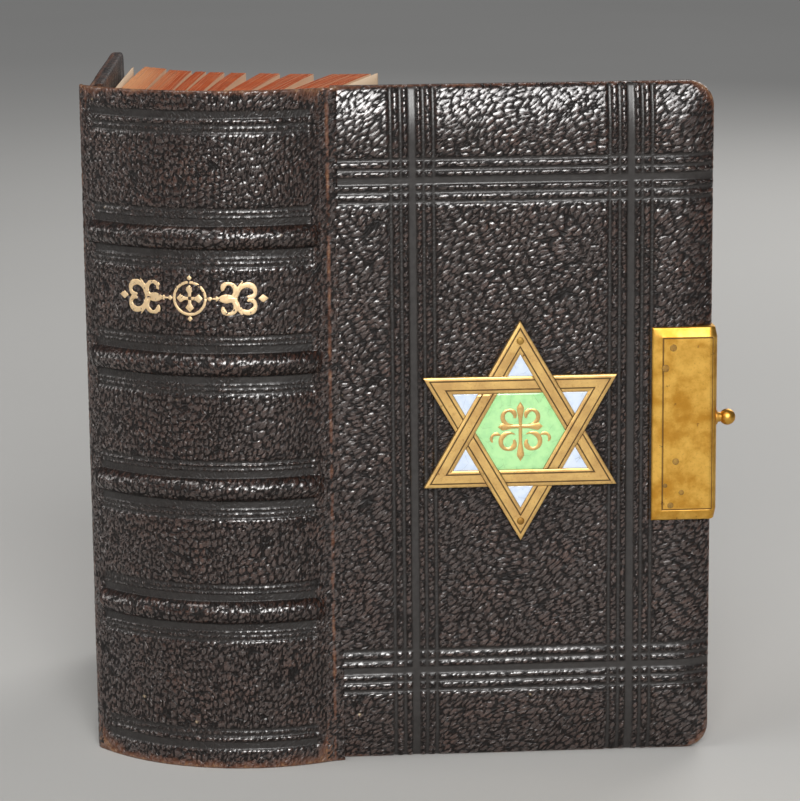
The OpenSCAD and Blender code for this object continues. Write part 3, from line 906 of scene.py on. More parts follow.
def sheet_grid(low, high, number, sheets, rng):
    """Points of one leaf of a clump, its two sides one after the other, and its shade."""
    sides = np.array([number + 0.03, number + 0.97]) / sheets
    trim, fore_trim = rng.normal(0, 0.045, 2), rng.normal(0, 0.06)
    shade, wave = rng.random(), rng.random(2)[0] * 6.3
    x = low[0] + sides * (high[0] - low[0])
    fore = arc_y + leaf_w - np.sqrt(root_r ** 2 - (x - fore_shift) ** 2) + fore_trim - 0.15
    root = arc_y - np.sqrt(root_r ** 2 - x ** 2) + 0.1
    y = root[:, None] + along_leaf * (fore - root)[:, None]
    # the leaves are pressed closer together where they are sewn
    squeeze = 1 - 1.0 / (high[0] - low[0]) * (1 - smooth_step(2, 11, y - front_hinge[1]))
    centre = (low[0] + high[0]) / 2
    sag = 0.16 * smooth_step(0.9, 1.0, along_leaf) + 0.035 * np.sin(along_leaf * 9 + wave)
    at_edge = from_edge == 0
    tail = low[2] + from_edge + at_edge * (0.04 + abs(trim[0]))
    head = high[2] - from_edge - at_edge * (0.04 + abs(trim[1]))
    grid = np.zeros((2, len(along_leaf), 2 * len(from_edge), 3))
    grid[..., 0] = (centre + (x[:, None] - centre) * squeeze)[:, :, None]
    grid[..., 1] = y[:, :, None]
    grid[..., 2] = np.concatenate([tail, head[::-1]])
    grid[:, :, -1, 2] -= sag
    grid[:, :, 0, 2] += sag
    return grid, shade


print("leaves are about", sheet_t, "mm apart")


# %% The faces of a leaf
def sheet_faces(start, n, m):
    """Faces of one leaf: kind 0 on its two sides, kind 1 along its cut edges."""
    at = lambda side, i, j: start + (side * n + i) * m + j
    faces = []
    for i in range(n - 1):
        for j in range(m - 1):
            for side in (0, 1):
                corners = [(i, j), (i + 1, j), (i + 1, j + 1), (i, j + 1)]
                faces.append((0, [at(side, *corner) for corner in corners]))
        for j in (0, m - 1):
            faces.append((1, [at(0, i, j), at(1, i, j), at(1, i + 1, j), at(0, i + 1, j)]))
    for j in range(m - 1):
        for i in (0, n - 1):
            faces.append((1, [at(0, i, j), at(0, i, j + 1), at(1, i, j + 1), at(1, i, j)]))
    return faces


print("a leaf is", 2 * len(along_leaf) * 2 * len(from_edge), "points")


# %% Clumps of leaves
def fading(spot, number):
    """How faded the stain is: most on the clump beside the back cover."""
    x, y = spot[:, 0], spot[:, 1]
    faded = 0.06 + 0.1 * soft_noise(x / 3, y / 6, number)
    faded += 0.6 * smooth_step(-13.0, -21.5, x) + 0.25 * smooth_step(88, 70, y) * (x < -12)
    return np.clip(faded, 0, 1)


def leaf_stack(number):
    """One clump of leaves as separate sheets, worked out upright and then leaned over."""
    node = f"clump_{number}"
    lean = ratios[f"{node}_turn"] * front_open
    pivot = np.array(joints[f"{node}_turn"]["pos_m"]) / MM
    upright = turn_about(cad_points(node), pivot, -lean)
    low, high = upright.min(0), upright.max(0)
    sheets = max(4, round((high[0] - low[0]) / sheet_t))
    rng = np.random.default_rng(number)
    points, faces, shades, margin = [], [], [], []
    for k in range(sheets):
        grid, shade = sheet_grid(low, high, k, sheets, rng)
        edge = np.zeros(grid.shape[:3])
        edge[:, :, (0, -1)] = 1.0
        edge[:, -2:, :] = 1.0
        faces += sheet_faces(len(points), *grid.shape[1:3])
        points += grid.reshape(-1, 3).tolist()
        margin += edge.ravel().tolist()
        shades += [shade] * edge.size
    spot = np.array(points)
    marks = {"leaf": shades, "margin": margin, "spot": spot, "faded": fading(spot, number)}
    placed = turn_about(spot, pivot, lean)
    piece = make_piece(f"leaves_{number}_paper", placed, [f for _, f in faces], f"leaves_{number}",
                       marks, smooth=False)
    piece.data.materials.append(page)
    piece.data.materials.append(page_edges)
    piece.data.polygons.foreach_set("material_index", [kind for kind, _ in faces])
    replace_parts(piece, node)
    return sheets


print("sheets in each clump:", [leaf_stack(number) for number in range(1, 9)])

# %% [markdown]
# ## Endpapers and flyleaves
# One half of each endpaper is pasted down inside a cover, over the turned-in leather, and the
# other half is a loose flyleaf. Old paper is never quite flat: it cockles a little where damp
# has reached it, so each sheet is a fine grid with slow waves, thin but with two real faces.


# %% Sheets of paper
def paper_sheet(name, node, body, inset, thick, lift, seed):
    """A thin cockled sheet lying along the plan of a flat solid of the frame."""
    cad = cad_points(node)
    centre = cad.mean(0)
    long_way = np.linalg.svd(cad[:, :2] - centre[:2], full_matrices=False)[2][0]
    long_way = np.array([*long_way, 0.0]) * np.sign(long_way[1])
    across = np.array([-long_way[1], long_way[0], 0.0])
    reach_u = (cad - centre) @ long_way
    half_h = (cad[:, 2].max() - cad[:, 2].min()) / 2 - inset
    us = np.linspace(reach_u.min() + inset, reach_u.max() - inset, 46)
    vs = np.linspace(-half_h, half_h, 74)
    u, v = np.meshgrid(us, vs, indexing="ij")
    to_edge = np.minimum(np.minimum(u - us[0], us[-1] - u), half_h - np.abs(v))
    wave = 0.1 * (soft_noise(u / 13, v / 17, seed) - 0.5)
    wave += 0.03 * (soft_noise(u / 3, v / 4, seed + 1) - 0.5)
    middle = lift + wave * smooth_step(0, 4, to_edge)
    face = lambda w: centre + (u[..., None] * long_way + v[..., None] * [0, 0, 1] + w[..., None] * across)
    points = np.stack([face(middle + thick / 2), face(middle - thick / 2)])
    n, m = len(us), len(vs)
    faces = grid_faces(n, m) + grid_faces(n, m, n * m)
    rim = grid_rim(n, m)
    ahead = np.roll(rim, -1)
    faces += np.stack([rim, ahead, ahead + n * m, rim + n * m], -1).tolist()
    margin = np.clip(1 - to_edge / 7, 0, 1) ** 2
    spot = np.stack([u, v, u * 0 + seed * 30], -1).reshape(-1, 3)
    marks = {"spot": np.tile(spot, (2, 1)), "margin": np.tile(margin.ravel(), 2)}
    piece = make_piece(name, points.reshape(-1, 3), faces, body, marks)
    piece.data.materials.append(endpaper)
    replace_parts(piece, node)


paper_sheet("front_endpaper", "front_pastedown", "front_cover", 0.2, 0.3, 0.4, 1)
paper_sheet("back_endpaper", "back_pastedown", "back_cover", 0.2, 0.3, -0.4, 2)
paper_sheet("front_flyleaf_paper", "front_flyleaf", "front_flyleaf", 0.05, 0.3, 0.0, 3)
paper_sheet("back_flyleaf_paper", "back_flyleaf", "back_flyleaf", 0.05, 0.3, 0.0, 4)


# %% Silk endbands
def endband(name, node):
    """A roll of silk, wrapped in slanting turns, across the backs of the leaves."""
    low, high = (np.array(corner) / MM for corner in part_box(node))
    r, z = (high[2] - low[2]) / 2, (high[2] + low[2]) / 2
    span = high[0] - 0.3
    turns = np.linspace(-span, span, 300) / (arc_r - 2.8)
    round_it = np.linspace(0, 2 * math.pi, 18, endpoint=False)
    turn, a = np.meshgrid(turns, round_it, indexing="ij")
    wrap = turn * arc_r / 0.62 + a / (2 * math.pi)
    swell = r * (0.9 + 0.1 * np.abs(np.sin(wrap * math.pi)))
    radius = arc_r - 1.7 - r + swell * np.cos(a)
    points = on_spine(turn * arc_r, z + swell * np.sin(a), radius)
    marks = {"spot": points.reshape(-1, 3), "leaf": (np.floor(wrap) % 4 / 3 > 0.6).ravel() * 1.0}
    piece = make_piece(name, points.reshape(-1, 3), loft(points), "spine", marks)
    piece.data.materials.append(silk)
    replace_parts(piece, node)


endband("head_silk", "head_endband")
endband("tail_silk", "tail_endband")
print("papers and endbands made")

# %% [markdown]
# ## Strokes and bosses
# The star's emblem and the gilt ornament are both drawn with a few curling strokes, and every
# rivet, nail and dot is a small turned boss. A curve object with a bevel could give the
# strokes, but a loft whose width is worked out along the way can swell and taper as a
# chiselled line does.


# %% Strokes and bosses
def curl(centre, start, end, near, far, count=34):
    """A spiral line round a centre, between two angles and two distances."""
    angle, r = np.radians(np.linspace(start, end, count)), np.linspace(near, far, count)
    return np.stack([centre[0] + r * np.cos(angle), centre[1] + r * np.sin(angle)], -1)


def stroke(line, widths, low, high):
    """A solid line in a plane, as wide as widths say along it, crowned from low to high."""
    line = np.asarray(line, float)
    along = np.gradient(line, axis=0)
    across = np.stack([-along[:, 1], along[:, 0]], -1) / np.hypot(along[:, 0], along[:, 1])[:, None]
    t = np.linspace(0, 1, len(line))
    half = np.interp(t, np.linspace(0, 1, len(widths)), widths) / 2
    sections = []
    for side, lift in ((-1, low), (-1, 0.75 * high + 0.25 * low), (-0.72, high), (0.72, high),
                       (1, 0.75 * high + 0.25 * low), (1, low)):
        edge = line + across * (half * side)[:, None]
        sections.append(np.column_stack([edge, np.full(len(line), lift)]))
    points = np.stack(sections, 1)
    return points.reshape(-1, 3), loft(points)


print("a full curl has", len(curl((0, 0), 0, 360, 1, 1)), "points")


# %% Turned pieces, and metal in general
def turned_piece(profile, middle, axis, count=28):
    """A closed solid turned round an axis, from a profile of (radius, distance along it)."""
    axis = np.array(axis, float)
    one = np.cross(axis, [0, 0, 1] if abs(axis[2]) < 0.5 else [1, 0, 0])
    one /= np.linalg.norm(one)
    two = np.cross(axis, one)
    angle = np.linspace(0, 2 * math.pi, count, endpoint=False)
    ring = np.outer(np.cos(angle), one) + np.outer(np.sin(angle), two)
    points = np.stack([np.array(middle) + r * ring + h * axis for r, h in profile])
    return points.reshape(-1, 3), loft(points)


def dome(r, height, sink=0.3):
    """Profile of a domed head that stands on a surface."""
    steps = np.linspace(0, math.pi / 2, 8)[:-1]
    crown = [(r * math.cos(a), height * math.sin(a) ** 0.9) for a in steps[1:]]
    return [(r * 0.96, -sink), (r, 0.0), *crown, (r * 0.04, height)]


def metal_piece(name, side, parts, nodes, ink, material=brass):
    """Joins parts drawn in a cover's own directions into one piece of metal."""
    points, faces = join_parts(parts)
    marks = {"spot": points + [0, 0, len(name) * 7.0], "ink": ink(points)}
    piece = make_piece(name, side.place(*points.T), faces, side.body, marks, smooth=False)
    piece.data.materials.append(material)
    shade_by_angle(piece)
    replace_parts(piece, *nodes)
    return piece


def finish_node(node, material):
    """Gives a solid of the frame its finish, in every slot it has."""
    for slot in frame["nodes"][node].material_slots:
        slot.material = material


def shade_by_angle(piece, degrees=32):
    """Smooth across gentle turns and crisp at sharp ones."""
    mesh = piece.data
    mesh.polygons.foreach_set("use_smooth", [True] * len(mesh.polygons))
    mesh.set_sharp_from_angle(angle=math.radians(degrees))


print("a dome of", len(dome(1, 1)), "rings")

# %% [markdown]
# ## The star
# The star is one plate of brass whose straps seem to weave through each other. The weave is
# only drawn: at each crossing the engraved lines of one strap run on, and those of the other
# stop. So each strap is cut in two where it dives, and every piece is a loft with two engraved
# lines sunk along it. White enamel fills the points and green enamel the middle.

# %% Star
star_r = float(star_box[1, 2] - star_box[0, 2]) / 2
strap_out, strap_in = star_r / 2, star_r / 2 - 3.7
star_base_t, star_t, engraved_in = 0.5, 1.3, 0.85
root3 = math.sqrt(3)


def strap_profile():
    """Heights across a strap: distance out from the star's middle, height, and ink."""
    line = lambda y: [(y - 0.17, star_t, 0.0), (y - 0.07, star_t - 0.2, 1.0),
                      (y + 0.07, star_t - 0.2, 1.0), (y + 0.17, star_t, 0.0)]
    low, high = strap_in, strap_out
    inner = [(low, 0.45, 1.0), (low, star_t - 0.18, 0.7),
             (low + 0.05, star_t - 0.05, 0.1), (low + 0.16, star_t, 0.0)]
    outer = [(high - 0.16, star_t, 0.0), (high - 0.05, star_t - 0.05, 0.0),
             (high, star_t - 0.18, 0.2), (high, 0.45, 0.6)]
    middle = ((low + high) / 2, star_t + 0.02, 0.0)
    return [*inner, *line(low + engraved_in), middle, *line(high - engraved_in), *outer]


def strap(normal, start, end, cut_start, cut_end):
    """One visible length of strap between two slanting ends, x = start(y) to end(y)."""
    n = np.array([math.cos(normal), math.sin(normal)])
    t = np.array([n[1], -n[0]])
    shares = [0, 0.012, 0.03, 0.5, 0.97, 0.988, 1]
    sections, ink = [], []
    for share in shares:
        dip = 0.14 if (share == 0 and cut_start) or (share == 1 and cut_end) else 0.0
        row = []
        for y, height, dark in strap_profile():
            x = start(y) + (end(y) - start(y)) * share
            place = np.array([star_u, star_v]) + n * y + t * x
            row.append([*place, height - dip * (height > 1)])
            ink.append(max(dark, 6 * dip))
        sections.append(row)
    return np.array(sections), ink


print("a strap's profile has", len(strap_profile()), "points")


# %% The star's plate
def star_straps():
    """The star's twelve lengths of strap on their common base."""
    parts, ink = [], []
    mitre = lambda y: y * root3 - 0.01
    near = lambda y: (strap_in - 0.03 - y / 2) / (root3 / 2)
    beyond = lambda y: (strap_out + 0.03 - y / 2) / (root3 / 2)
    lengths = ((lambda y: -mitre(y), near, (False, True)), (beyond, mitre, (True, False)))
    for normal in np.radians(np.arange(30, 390, 60)):
        for start, end, cuts in lengths:
            sections, dark = strap(normal, start, end, *cuts)
            parts.append((sections.reshape(-1, 3), loft(sections)))
            ink += dark
    angles = np.radians(np.arange(0, 360, 30) + 30)
    reach = np.where(np.arange(12) % 2 == 0, star_r - 0.06, star_r / root3 - 0.03)
    outline = np.stack([star_u + reach * np.cos(angles), star_v + reach * np.sin(angles)], -1)
    base = np.stack([np.column_stack([outline, np.full(12, w)]) for w in (-0.05, star_base_t)])
    parts.append((base.reshape(-1, 3), loft(base)))
    ink += [0.7] * 24
    return metal_piece("star_straps", front, parts, ["star_plate"], lambda points: ink, star_brass_painted_highlight)


star = star_straps()
print("star: radius", round(float(star_r), 1), "from", len(star.data.vertices), "points")


# %% Enamel
def enamel_field(name, corners, material, nodes):
    """A pool of enamel: a little higher in the middle than at the brass."""
    corners = np.asarray(corners, float)
    middle = corners.mean(0)
    rings = [(1.0, star_base_t - 0.02), (1.0, star_t - 0.26), (0.985, star_t - 0.17),
             (0.9, star_t - 0.13), (0.6, star_t - 0.1), (0.05, star_t - 0.09)]
    pairs = zip(corners, np.roll(corners, -1, 0))
    fine = np.concatenate([np.linspace(one, other, 12, endpoint=False) for one, other in pairs])
    points = np.stack([np.column_stack([middle + (fine - middle) * share, np.full(len(fine), w)])
                       for share, w in rings])
    piece = make_piece(name, front.place(*points.reshape(-1, 3).T), loft(points), "front_cover")
    piece.data.materials.append(material)
    if nodes:
        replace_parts(piece, *nodes)


star_centre = np.array([star_u, star_v])
hexagon = np.radians(np.arange(0, 360, 60))
hex_r = strap_in / (root3 / 2)
hex_corners = star_centre + hex_r * np.stack([np.cos(hexagon), np.sin(hexagon)], -1)
enamel_field("green_field", hex_corners, green_enamel, ["star_green_enamel"])
tip, foot = 2 * strap_in, strap_out
foot_half = (tip - foot) / root3
for number, angle in enumerate(np.radians(np.arange(30, 390, 60))):
    out = np.array([math.cos(angle), math.sin(angle)])
    beside = np.array([-math.sin(angle), math.cos(angle)]) * foot_half
    corners = star_centre + [out * tip, out * foot - beside, out * foot + beside]
    enamel_field(f"white_field_{number + 1}", corners, white_enamel,
                 ["star_white_enamel"] if number == 0 else [])
print("seven fields of enamel")

# %% Emblem and nails
emblem_low, emblem_high = star_t - 0.2, star_t + 0.04
flared = [0.05, 1.7, 1.25, 0.8, 0.75, 0.8, 0.75, 0.8, 1.25, 1.7, 0.05]


def emblem():
    """A cross with flared ends and four curling tendrils."""
    upright = np.linspace([0, -6.6], [0, 6.6], 44)
    crossbar = np.linspace([-4.9, 1.1], [4.9, 1.1], 36)
    lines = [(upright, flared), (crossbar, flared)]
    for s in (-1, 1):
        upper = curl((s * 2.3, 3.4), 90 - s * 200, 90 + s * 110, 1.9, 1.05)
        lower = curl((s * 2.5, -2.4), -90 + s * 215, -90 - s * 120, 2.2, 1.15)
        outer = curl((s * 5.4, -1.7), 90 + s * 60, 90 - s * 130, 1.35, 0.9)
        lines.append((upper, [0.15, 1.0, 0.9, 0.6, 1.1, 0.5]))
        lines.append((lower, [0.15, 1.1, 1.0, 0.65, 1.2, 0.5]))
        lines.append((outer, [0.1, 0.8, 0.6, 0.7, 0.3]))
    # each stroke is a hair lower than the last, so that crossing faces never lie in one plane
    parts = [stroke(line + star_centre, widths, emblem_low, emblem_high - 0.01 * i)
             for i, (line, widths) in enumerate(lines)]
    dark = lambda points: (points[:, 2] < star_t - 0.1) * 0.8
    return metal_piece("star_emblem", front, parts, ["star_cross"], dark, star_brass_painted_highlight)


emblem()
nail_gap = star_r - 4.4
nail_places = [(star_u, star_v + s * nail_gap, star_t - 0.06) for s in (-1, 1)]
nails = [turned_piece(dome(0.85, 0.4, 0.2), place, (0, 0, 1)) for place in nail_places]
metal_piece("star_nail_heads", front, nails, ["star_nails"], lambda p: 0.62 + 0.3 * (p[:, 2] < star_t))
print("emblem and two nails set in the star")

# %% [markdown]
# ## The clasp
# A cast plate laps round the fore-edge of each cover, with a bevelled border, a dark engraved
# line and a flat panel. It is swept up the book from one section whose heights change near
# both ends, so the bevel runs round the corners as it does on the casting. The front plate
# carries a ball-headed peg, and the arm hinged to the back plate drops its eye over it.

# %% The plan and the heights of a clasp plate
plate_w, plate_t, bend_r, border = 14.6, 1.0, 2.0, 2.35
rim = cover_w + plate_t
plate_box = np.array(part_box("clasp_front_plate")) / MM
clasp_v = float(plate_box[:, 2].mean())
plate_h = float(np.ptp(plate_box[:, 2]))
flat_run = plate_w - bend_r
bend_run = bend_r * math.pi / 2
full_run = flat_run + bend_run + cover_t - 0.4 - (bend_r - plate_t)


def plate_path(s):
    """Outer and inner place (u, w) and outward direction at a distance s round the plate."""
    if s <= flat_run:
        u = rim - plate_w + s
        return (u, plate_t), (u, -float(pillow(u, star_v)) - 0.1), (0.0, 1.0)
    if s <= flat_run + bend_run:
        a = (s - flat_run) / bend_r
        t = a / (math.pi / 2)
        outer = (rim - bend_r + bend_r * math.sin(a), plate_t - bend_r + bend_r * math.cos(a))
        return outer, (rim - bend_r + 0.9 * t, -1.9 - 1.3 * t), (math.sin(a), math.cos(a))
    down = s - flat_run - bend_run
    return (rim, plate_t - bend_r - down), (rim - 1.1, -3.2 - down * 0.35), (1.0, 0.0)


def plate_height(s, to_end):
    """Height of the casting, and how dark it is, at s round it and to_end from its end."""
    inside = np.minimum(np.minimum(s, to_end), full_run - s + 0.8)
    bevel = 0.42 + 0.5 * np.clip(inside / border, 0, 1)
    panel_edge = np.minimum(np.minimum(s, to_end) - border, flat_run + 0.9 - s)
    line = 1 - smooth_step(0.08, 0.22, np.abs(panel_edge - 0.05))
    height = np.where(panel_edge > 0, plate_t - 0.04, bevel) - 0.17 * line
    height -= 0.2 * np.clip(1 - inside / 0.3, 0, 1) ** 2
    return height, line


print("plate", round(full_run, 1), "mm round the fore-edge")


# %% Clasp plates
def clasp_plate(name, side, tall, nodes, extra=()):
    """A plate of a given height, with any extra parts that are cast on it."""
    bevel_steps = np.array([0, 0.08, 0.2, 0.32, *[border + d for d in (-0.2, -0.1, 0.02, 0.12, 0.25)]])
    line_steps = flat_run + 0.9 + np.array([-0.25, -0.12, 0.0, 0.1, 0.2])
    bend_steps = np.linspace(flat_run, flat_run + bend_run, 10)
    last_steps = np.linspace(full_run - 2.4, full_run, 7)
    ss = np.unique(np.round([*bevel_steps, *np.arange(0.8, flat_run, 0.9), *line_steps,
                             *bend_steps, *last_steps], 3))
    vs = np.unique(np.round([*bevel_steps, *(tall - bevel_steps), *np.arange(0.9, tall, 1.2)], 3))
    sections, ink = [], []
    for v in vs:
        heights, dark = plate_height(ss, min(v, tall - v))
        place_v = clasp_v - tall / 2 + v
        top, under = [], []
        for s, height in zip(ss, heights):
            outer, inner, out = plate_path(s)
            low = plate_t - height
            top.append([outer[0] - out[0] * low, place_v, outer[1] - out[1] * low])
            under.append([inner[0], place_v, inner[1]])
        sections.append(top + under[::-1])
        ink += [*(dark * 0.95), *np.zeros(len(ss))]
    sections = np.array(sections)
    parts = [(sections.reshape(-1, 3), loft(sections)), *extra]
    ink += [0.0] * sum(len(points) for points, _ in extra)
    return metal_piece(name, side, parts, nodes, lambda points: ink)


clasp_plate("front_clasp_plate", front, plate_h, ["clasp_front_plate"])
print("front clasp plate", round(plate_h, 1), "mm tall")

# %% Rivets and the peg
rivet_spots = [(-2.7, 17.1, 0.8), (-4.4, 12.6, 0.85), (-2.0, -8.3, 0.75), (-0.7, -15.3, 0.6),
               (-3.1, -18.2, 0.7), (-4.3, -13.7, 0.5)]


def rivets(name, side, spots, node):
    """Flat worn rivet heads, let into the plate."""
    head = np.array([(0.9, -0.4), (1, -0.02), (0.93, 0.09), (0.6, 0.13), (0.1, 0.1)])
    parts = [turned_piece(head * [r, 1], (rim - plate_w / 2 + u, clasp_v + v, plate_t - 0.04), (0, 0, 1), 20)
             for u, v, r in spots]
    shade = lambda p: 0.5 + 0.4 * (p[:, 2] < plate_t) + 0.35 * soft_noise(p[:, 0] * 3, p[:, 1] * 3, 4)
    metal_piece(name, side, parts, [node], shade)


rivets("front_plate_rivets", front, rivet_spots, "clasp_front_rivets")
rivets("back_plate_rivets", back, [(-2.0, 9.0, 0.7), (-2.0, -9.0, 0.7)], "clasp_back_rivets")
peg_box = np.array(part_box("catch_peg")) / MM
peg_v = float(peg_box[:, 2].mean())
ball_r = float(peg_box[1, 2] - peg_box[0, 2]) / 2
peg_neck = 0.8
ball = [(ball_r * math.sin(a), peg_neck + ball_r * (1 - math.cos(a))) for a in np.linspace(0.62, 3.08, 16)]
peg_profile = [(1.6, -0.3), (1.7, 0.08), (1.66, 0.22), (1.45, 0.33), (1.14, 0.42), *ball]
peg = turned_piece(peg_profile, (rim, peg_v, -cover_t / 2), (1, 0, 0), 36)
metal_piece("clasp_peg", front, [peg], ["catch_peg"], lambda points: 0.35 * (points[:, 0] < rim + 0.7))
print("six rivets, two rivets and the peg")

# %% Back plate, hinge and arm
pin_box = np.array(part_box("clasp_hinge_pin")) / MM
pin_at = pin_box.mean(0) - back.hinge
pin_u, pin_w = float(pin_at @ back.u), float(pin_at @ back.w)
half_knuckle = [(1.45, 0.0), (1.66, 0.08), (1.7, 0.25), (1.7, 1.85), (1.6, 1.98)]
knuckle = [*half_knuckle, (1.6, 2.04), (1.7, 2.15), (1.7, 3.75), (1.66, 3.92), (1.45, 4.0)]
hinge_parts = []
for low in (peg_v - 8.7, peg_v + 4.7):
    hinge_parts.append(turned_piece(knuckle, (pin_u, low, pin_w), (0, 1, 0), 30))
    web = [(rim - 0.5, pin_w - 0.6), (rim - 0.5, pin_w + 0.6), (pin_u, pin_w + 0.6), (pin_u, pin_w - 0.6)]
    block = [[(u, v, w) for u, w in web] for v in (low + 0.02, low + 3.98)]
    hinge_parts.append((np.array(block).reshape(-1, 3), loft(block)))
clasp_plate("back_clasp_plate", back, 26.0, ["clasp_back_plate"], hinge_parts)
hinge_brass = brass_finish("hinge_brass", own_marks=False)
for node in ("clasp_arm", "clasp_hinge_pin"):
    finish_node(node, hinge_brass)
    softened = frame["nodes"][node].modifiers.new("worn_edges", "BEVEL")
    softened.width = 0.18 * MM
    softened.segments = 2
    softened.limit_method = "ANGLE"
    softened.harden_normals = True
print("back plate with two knuckles, pin and arm")

# %% [markdown]
# ## The gilt ornament
# Between the two top bands the binder stamped an ornament in gold leaf. The stamp leaves the
# gold slightly sunk and broken over the grain, but a film that thin would vanish from the
# mesh, so it is drawn as strokes a tenth of a millimetre high that follow the spine's curve.


# %% Gilt ornament
def gilt_lines():
    """The ornament's strokes, flat, round its own middle: a ring and cross between scrolls."""
    lines = [(curl((0, 0), 0, 360, 3.5, 3.5, 60), [0.45, 0.45])]
    for a in np.radians([0, 90, 180, 270]):
        turn = np.array([[math.cos(a), -math.sin(a)], [math.sin(a), math.cos(a)]])
        lines.append((np.linspace([0.35, 0], [2.9, 0], 12) @ turn.T, [0.5, 0.55, 1.5, 0.1]))
        lines.append((np.linspace([3.9, 0], [5.0, 0], 8) @ turn.T, [0.2, 0.9, 0.1]))
    inner = (curl((8.2, 1.9), -150, 190, 2.75, 0.8, 50), [0.2, 0.7, 1.05, 0.8, 0.5, 0.9, 0.4])
    outer = (curl((12.9, 1.2), 190, -120, 2.3, 0.7, 44), [0.2, 0.8, 1.0, 0.6, 0.8, 0.3])
    spur = (np.linspace([9.8, 0.6], [11.6, 3.9], 14), [0.1, 0.9, 0.5, 0.1])
    point = (np.linspace([14.9, 0], [17.0, 0], 10), [0.1, 1.4, 0.2])
    stem = (np.linspace([4.9, 0], [10.6, 0], 20), [0.2, 0.5, 1.0, 0.4, 0.1])
    for s in (-1, 1):
        for flip in ([s, -1], [s, 1]):
            lines += [(line * flip, widths) for line, widths in (inner, outer, spur)]
        lines += [(line * [s, 1], widths) for line, widths in (point, stem)]
    return lines


def gilt_ornament():
    """The gilt strokes, laid on the spine where the frame has them."""
    low, high = (np.array(corner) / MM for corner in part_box("gilt_ornament"))
    across = math.asin((low[0] + high[0]) / 2 / arc_r) * arc_r
    up = (low[2] + high[2]) / 2
    lines = gilt_lines()
    parts = [stroke(line, [w * 1.35 for w in widths], -0.08, 0.13) for line, widths in lines]
    points, faces = join_parts(parts)
    drawn = on_spine(points[:, 0] + across, points[:, 1] + up, arc_r + points[:, 2])
    piece = make_piece("gilt_scrolls", drawn, faces, "spine", {"spot": points})
    piece.data.materials.append(gold)
    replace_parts(piece, "gilt_ornament")
    print("gilt strokes:", len(lines))


gilt_ornament()

# %% [markdown]
# ## Finishes for the hidden solids
# The boards, the cords under the bands and the lining are covered by leather and paper, but
# they are real pieces and show when a cover is taken off, so they get finishes too.


# %% Board, cord and lining finishes
def pulp_finish(name, light, dark):
    """Pressed paper pulp, with its fibres showing."""
    pulp = Finish(name)
    spot = pulp.node("TexCoord", out="Object")
    spot = pulp.stretch(spot, (MM, MM, 2.5 * MM))
    fibres = pulp.noise(spot, 1.2, 5.0, 0.7)
    tone = pulp.mix(light, dark, fibres.step(0.3, 0.75))
    return pulp.wear_it(base_color=tone, roughness=0.8 + fibres * 0.1, normal=pulp.bump(fibres, 0.08, 0.6))


board_finish = pulp_finish("mill_board", (0.42, 0.32, 0.20), (0.26, 0.19, 0.12))
lining_finish = pulp_finish("spine_lining_paper", (0.66, 0.54, 0.36), (0.45, 0.34, 0.2))
finish_node("front_board", board_finish)
finish_node("back_board", board_finish)
for cord in cords:
    cord.data.materials.append(board_finish)
finish_node("spine_lining", lining_finish)
print("boards, cords and lining finished")

# %% [markdown]
# ## Floor, light and camera
# The book stands on a pale floor. A broad sun and a near lamp shine from above and in front, a
# little to the right, so that each crest of the grain and each rim of a line catches a glint.
# Three weaker lamps fill from above, from the left and from behind, and a pale sky does the
# rest. The camera looks a little down at the spine and the cover.

# %% Floor
floor_half = 3.0
bpy.ops.mesh.primitive_plane_add(size=2 * floor_half, location=(0, 0, 0))
floor = bpy.context.object
floor.name = "studio_floor"
paint = Finish("floor_paint")
grey = paint.noise(paint.node("TexCoord", out="Object"), 3.0, 2.0)
tone = paint.mix((0.50, 0.495, 0.48), (0.46, 0.455, 0.44), grey)
floor.data.materials.append(paint.wear_it(base_color=tone, roughness=0.75))
print("floor", 2 * floor_half, "m wide")


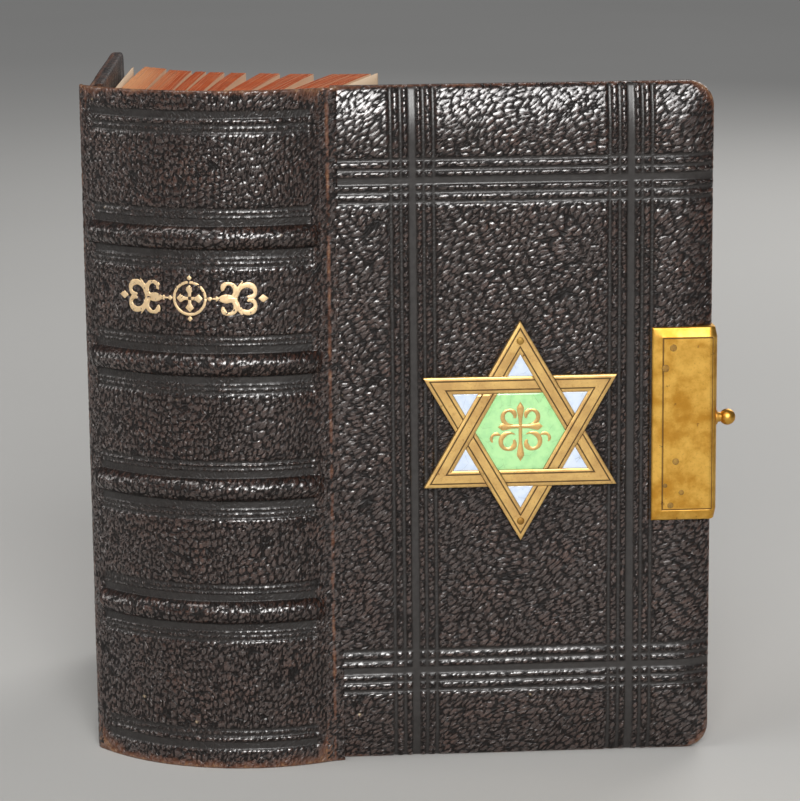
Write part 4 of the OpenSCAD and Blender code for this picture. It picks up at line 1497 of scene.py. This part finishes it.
# %% Lights
def soft_light(name, place, aim, size, power):
    """A square lamp at a place, turned towards its aim."""
    lamp = bpy.data.lights.new(name, "AREA")
    lamp.size = size
    lamp.energy = power
    lamp.color = (1.0, 0.985, 0.965)
    holder = bpy.data.objects.new(name, lamp)
    holder.location = place
    holder.rotation_euler = (Vector(aim) - Vector(place)).to_track_quat("-Z", "Y").to_euler()
    bpy.context.scene.collection.objects.link(holder)
    return holder


book_middle = (0.02, 0.03, 0.07)
sun_light = bpy.data.lights.new("sun_light", "SUN")
sun_light.energy = 1.5
sun_light.angle = math.radians(30)
sun = bpy.data.objects.new("sun_light", sun_light)
sun.rotation_euler = Vector((-0.30, 0.78, -0.52)).to_track_quat("-Z", "Y").to_euler()
bpy.context.scene.collection.objects.link(sun)
near = soft_light("near_light", (0.18, -0.62, 0.40), (0.03, 0.0, 0.12), 0.26, 2.9)
top = soft_light("top_light", (-0.35, -0.35, 1.1), book_middle, 0.5, 3)
side = soft_light("side_light", (-0.95, -0.25, 0.45), book_middle, 0.45, 2)
rear = soft_light("rear_light", (0.3, 1.0, 0.7), book_middle, 0.6, 5)
world = bpy.data.worlds.new("studio_sky")
world.use_nodes = True
sky = world.node_tree.nodes["Background"]
sky.inputs["Color"].default_value = (0.93, 0.95, 1.0, 1.0)
sky.inputs["Strength"].default_value = 0.11
bpy.context.scene.world = world
bpy.context.scene.view_settings.view_transform = "Standard"
print("floor and five lamps on the stage")

# %% Camera
camera_place = np.array([*(front_hinge[:2] + (153.2, -633.6)), 215.0]) * MM
yaw, pitch, roll = math.radians(12.26), math.radians(11.55), math.radians(-0.56)
looking = Vector((-math.sin(yaw) * math.cos(pitch), math.cos(yaw) * math.cos(pitch), -math.sin(pitch)))
right = Vector((math.cos(yaw), math.sin(yaw), 0))
up = right.cross(looking)
tilted_right = right * math.cos(roll) + up * math.sin(roll)
tilted_up = up * math.cos(roll) - right * math.sin(roll)
camera_data = bpy.data.cameras.new("studio_camera")
camera_data.lens = 137.5
camera_data.sensor_width = 36
camera = bpy.data.objects.new("studio_camera", camera_data)
axes = Matrix((tilted_right, tilted_up, -looking)).transposed()
camera.matrix_world = Matrix.Translation(camera_place) @ axes.to_4x4()
bpy.context.scene.collection.objects.link(camera)
bpy.context.scene.camera = camera
print("camera at", [round(c, 3) for c in camera.location])
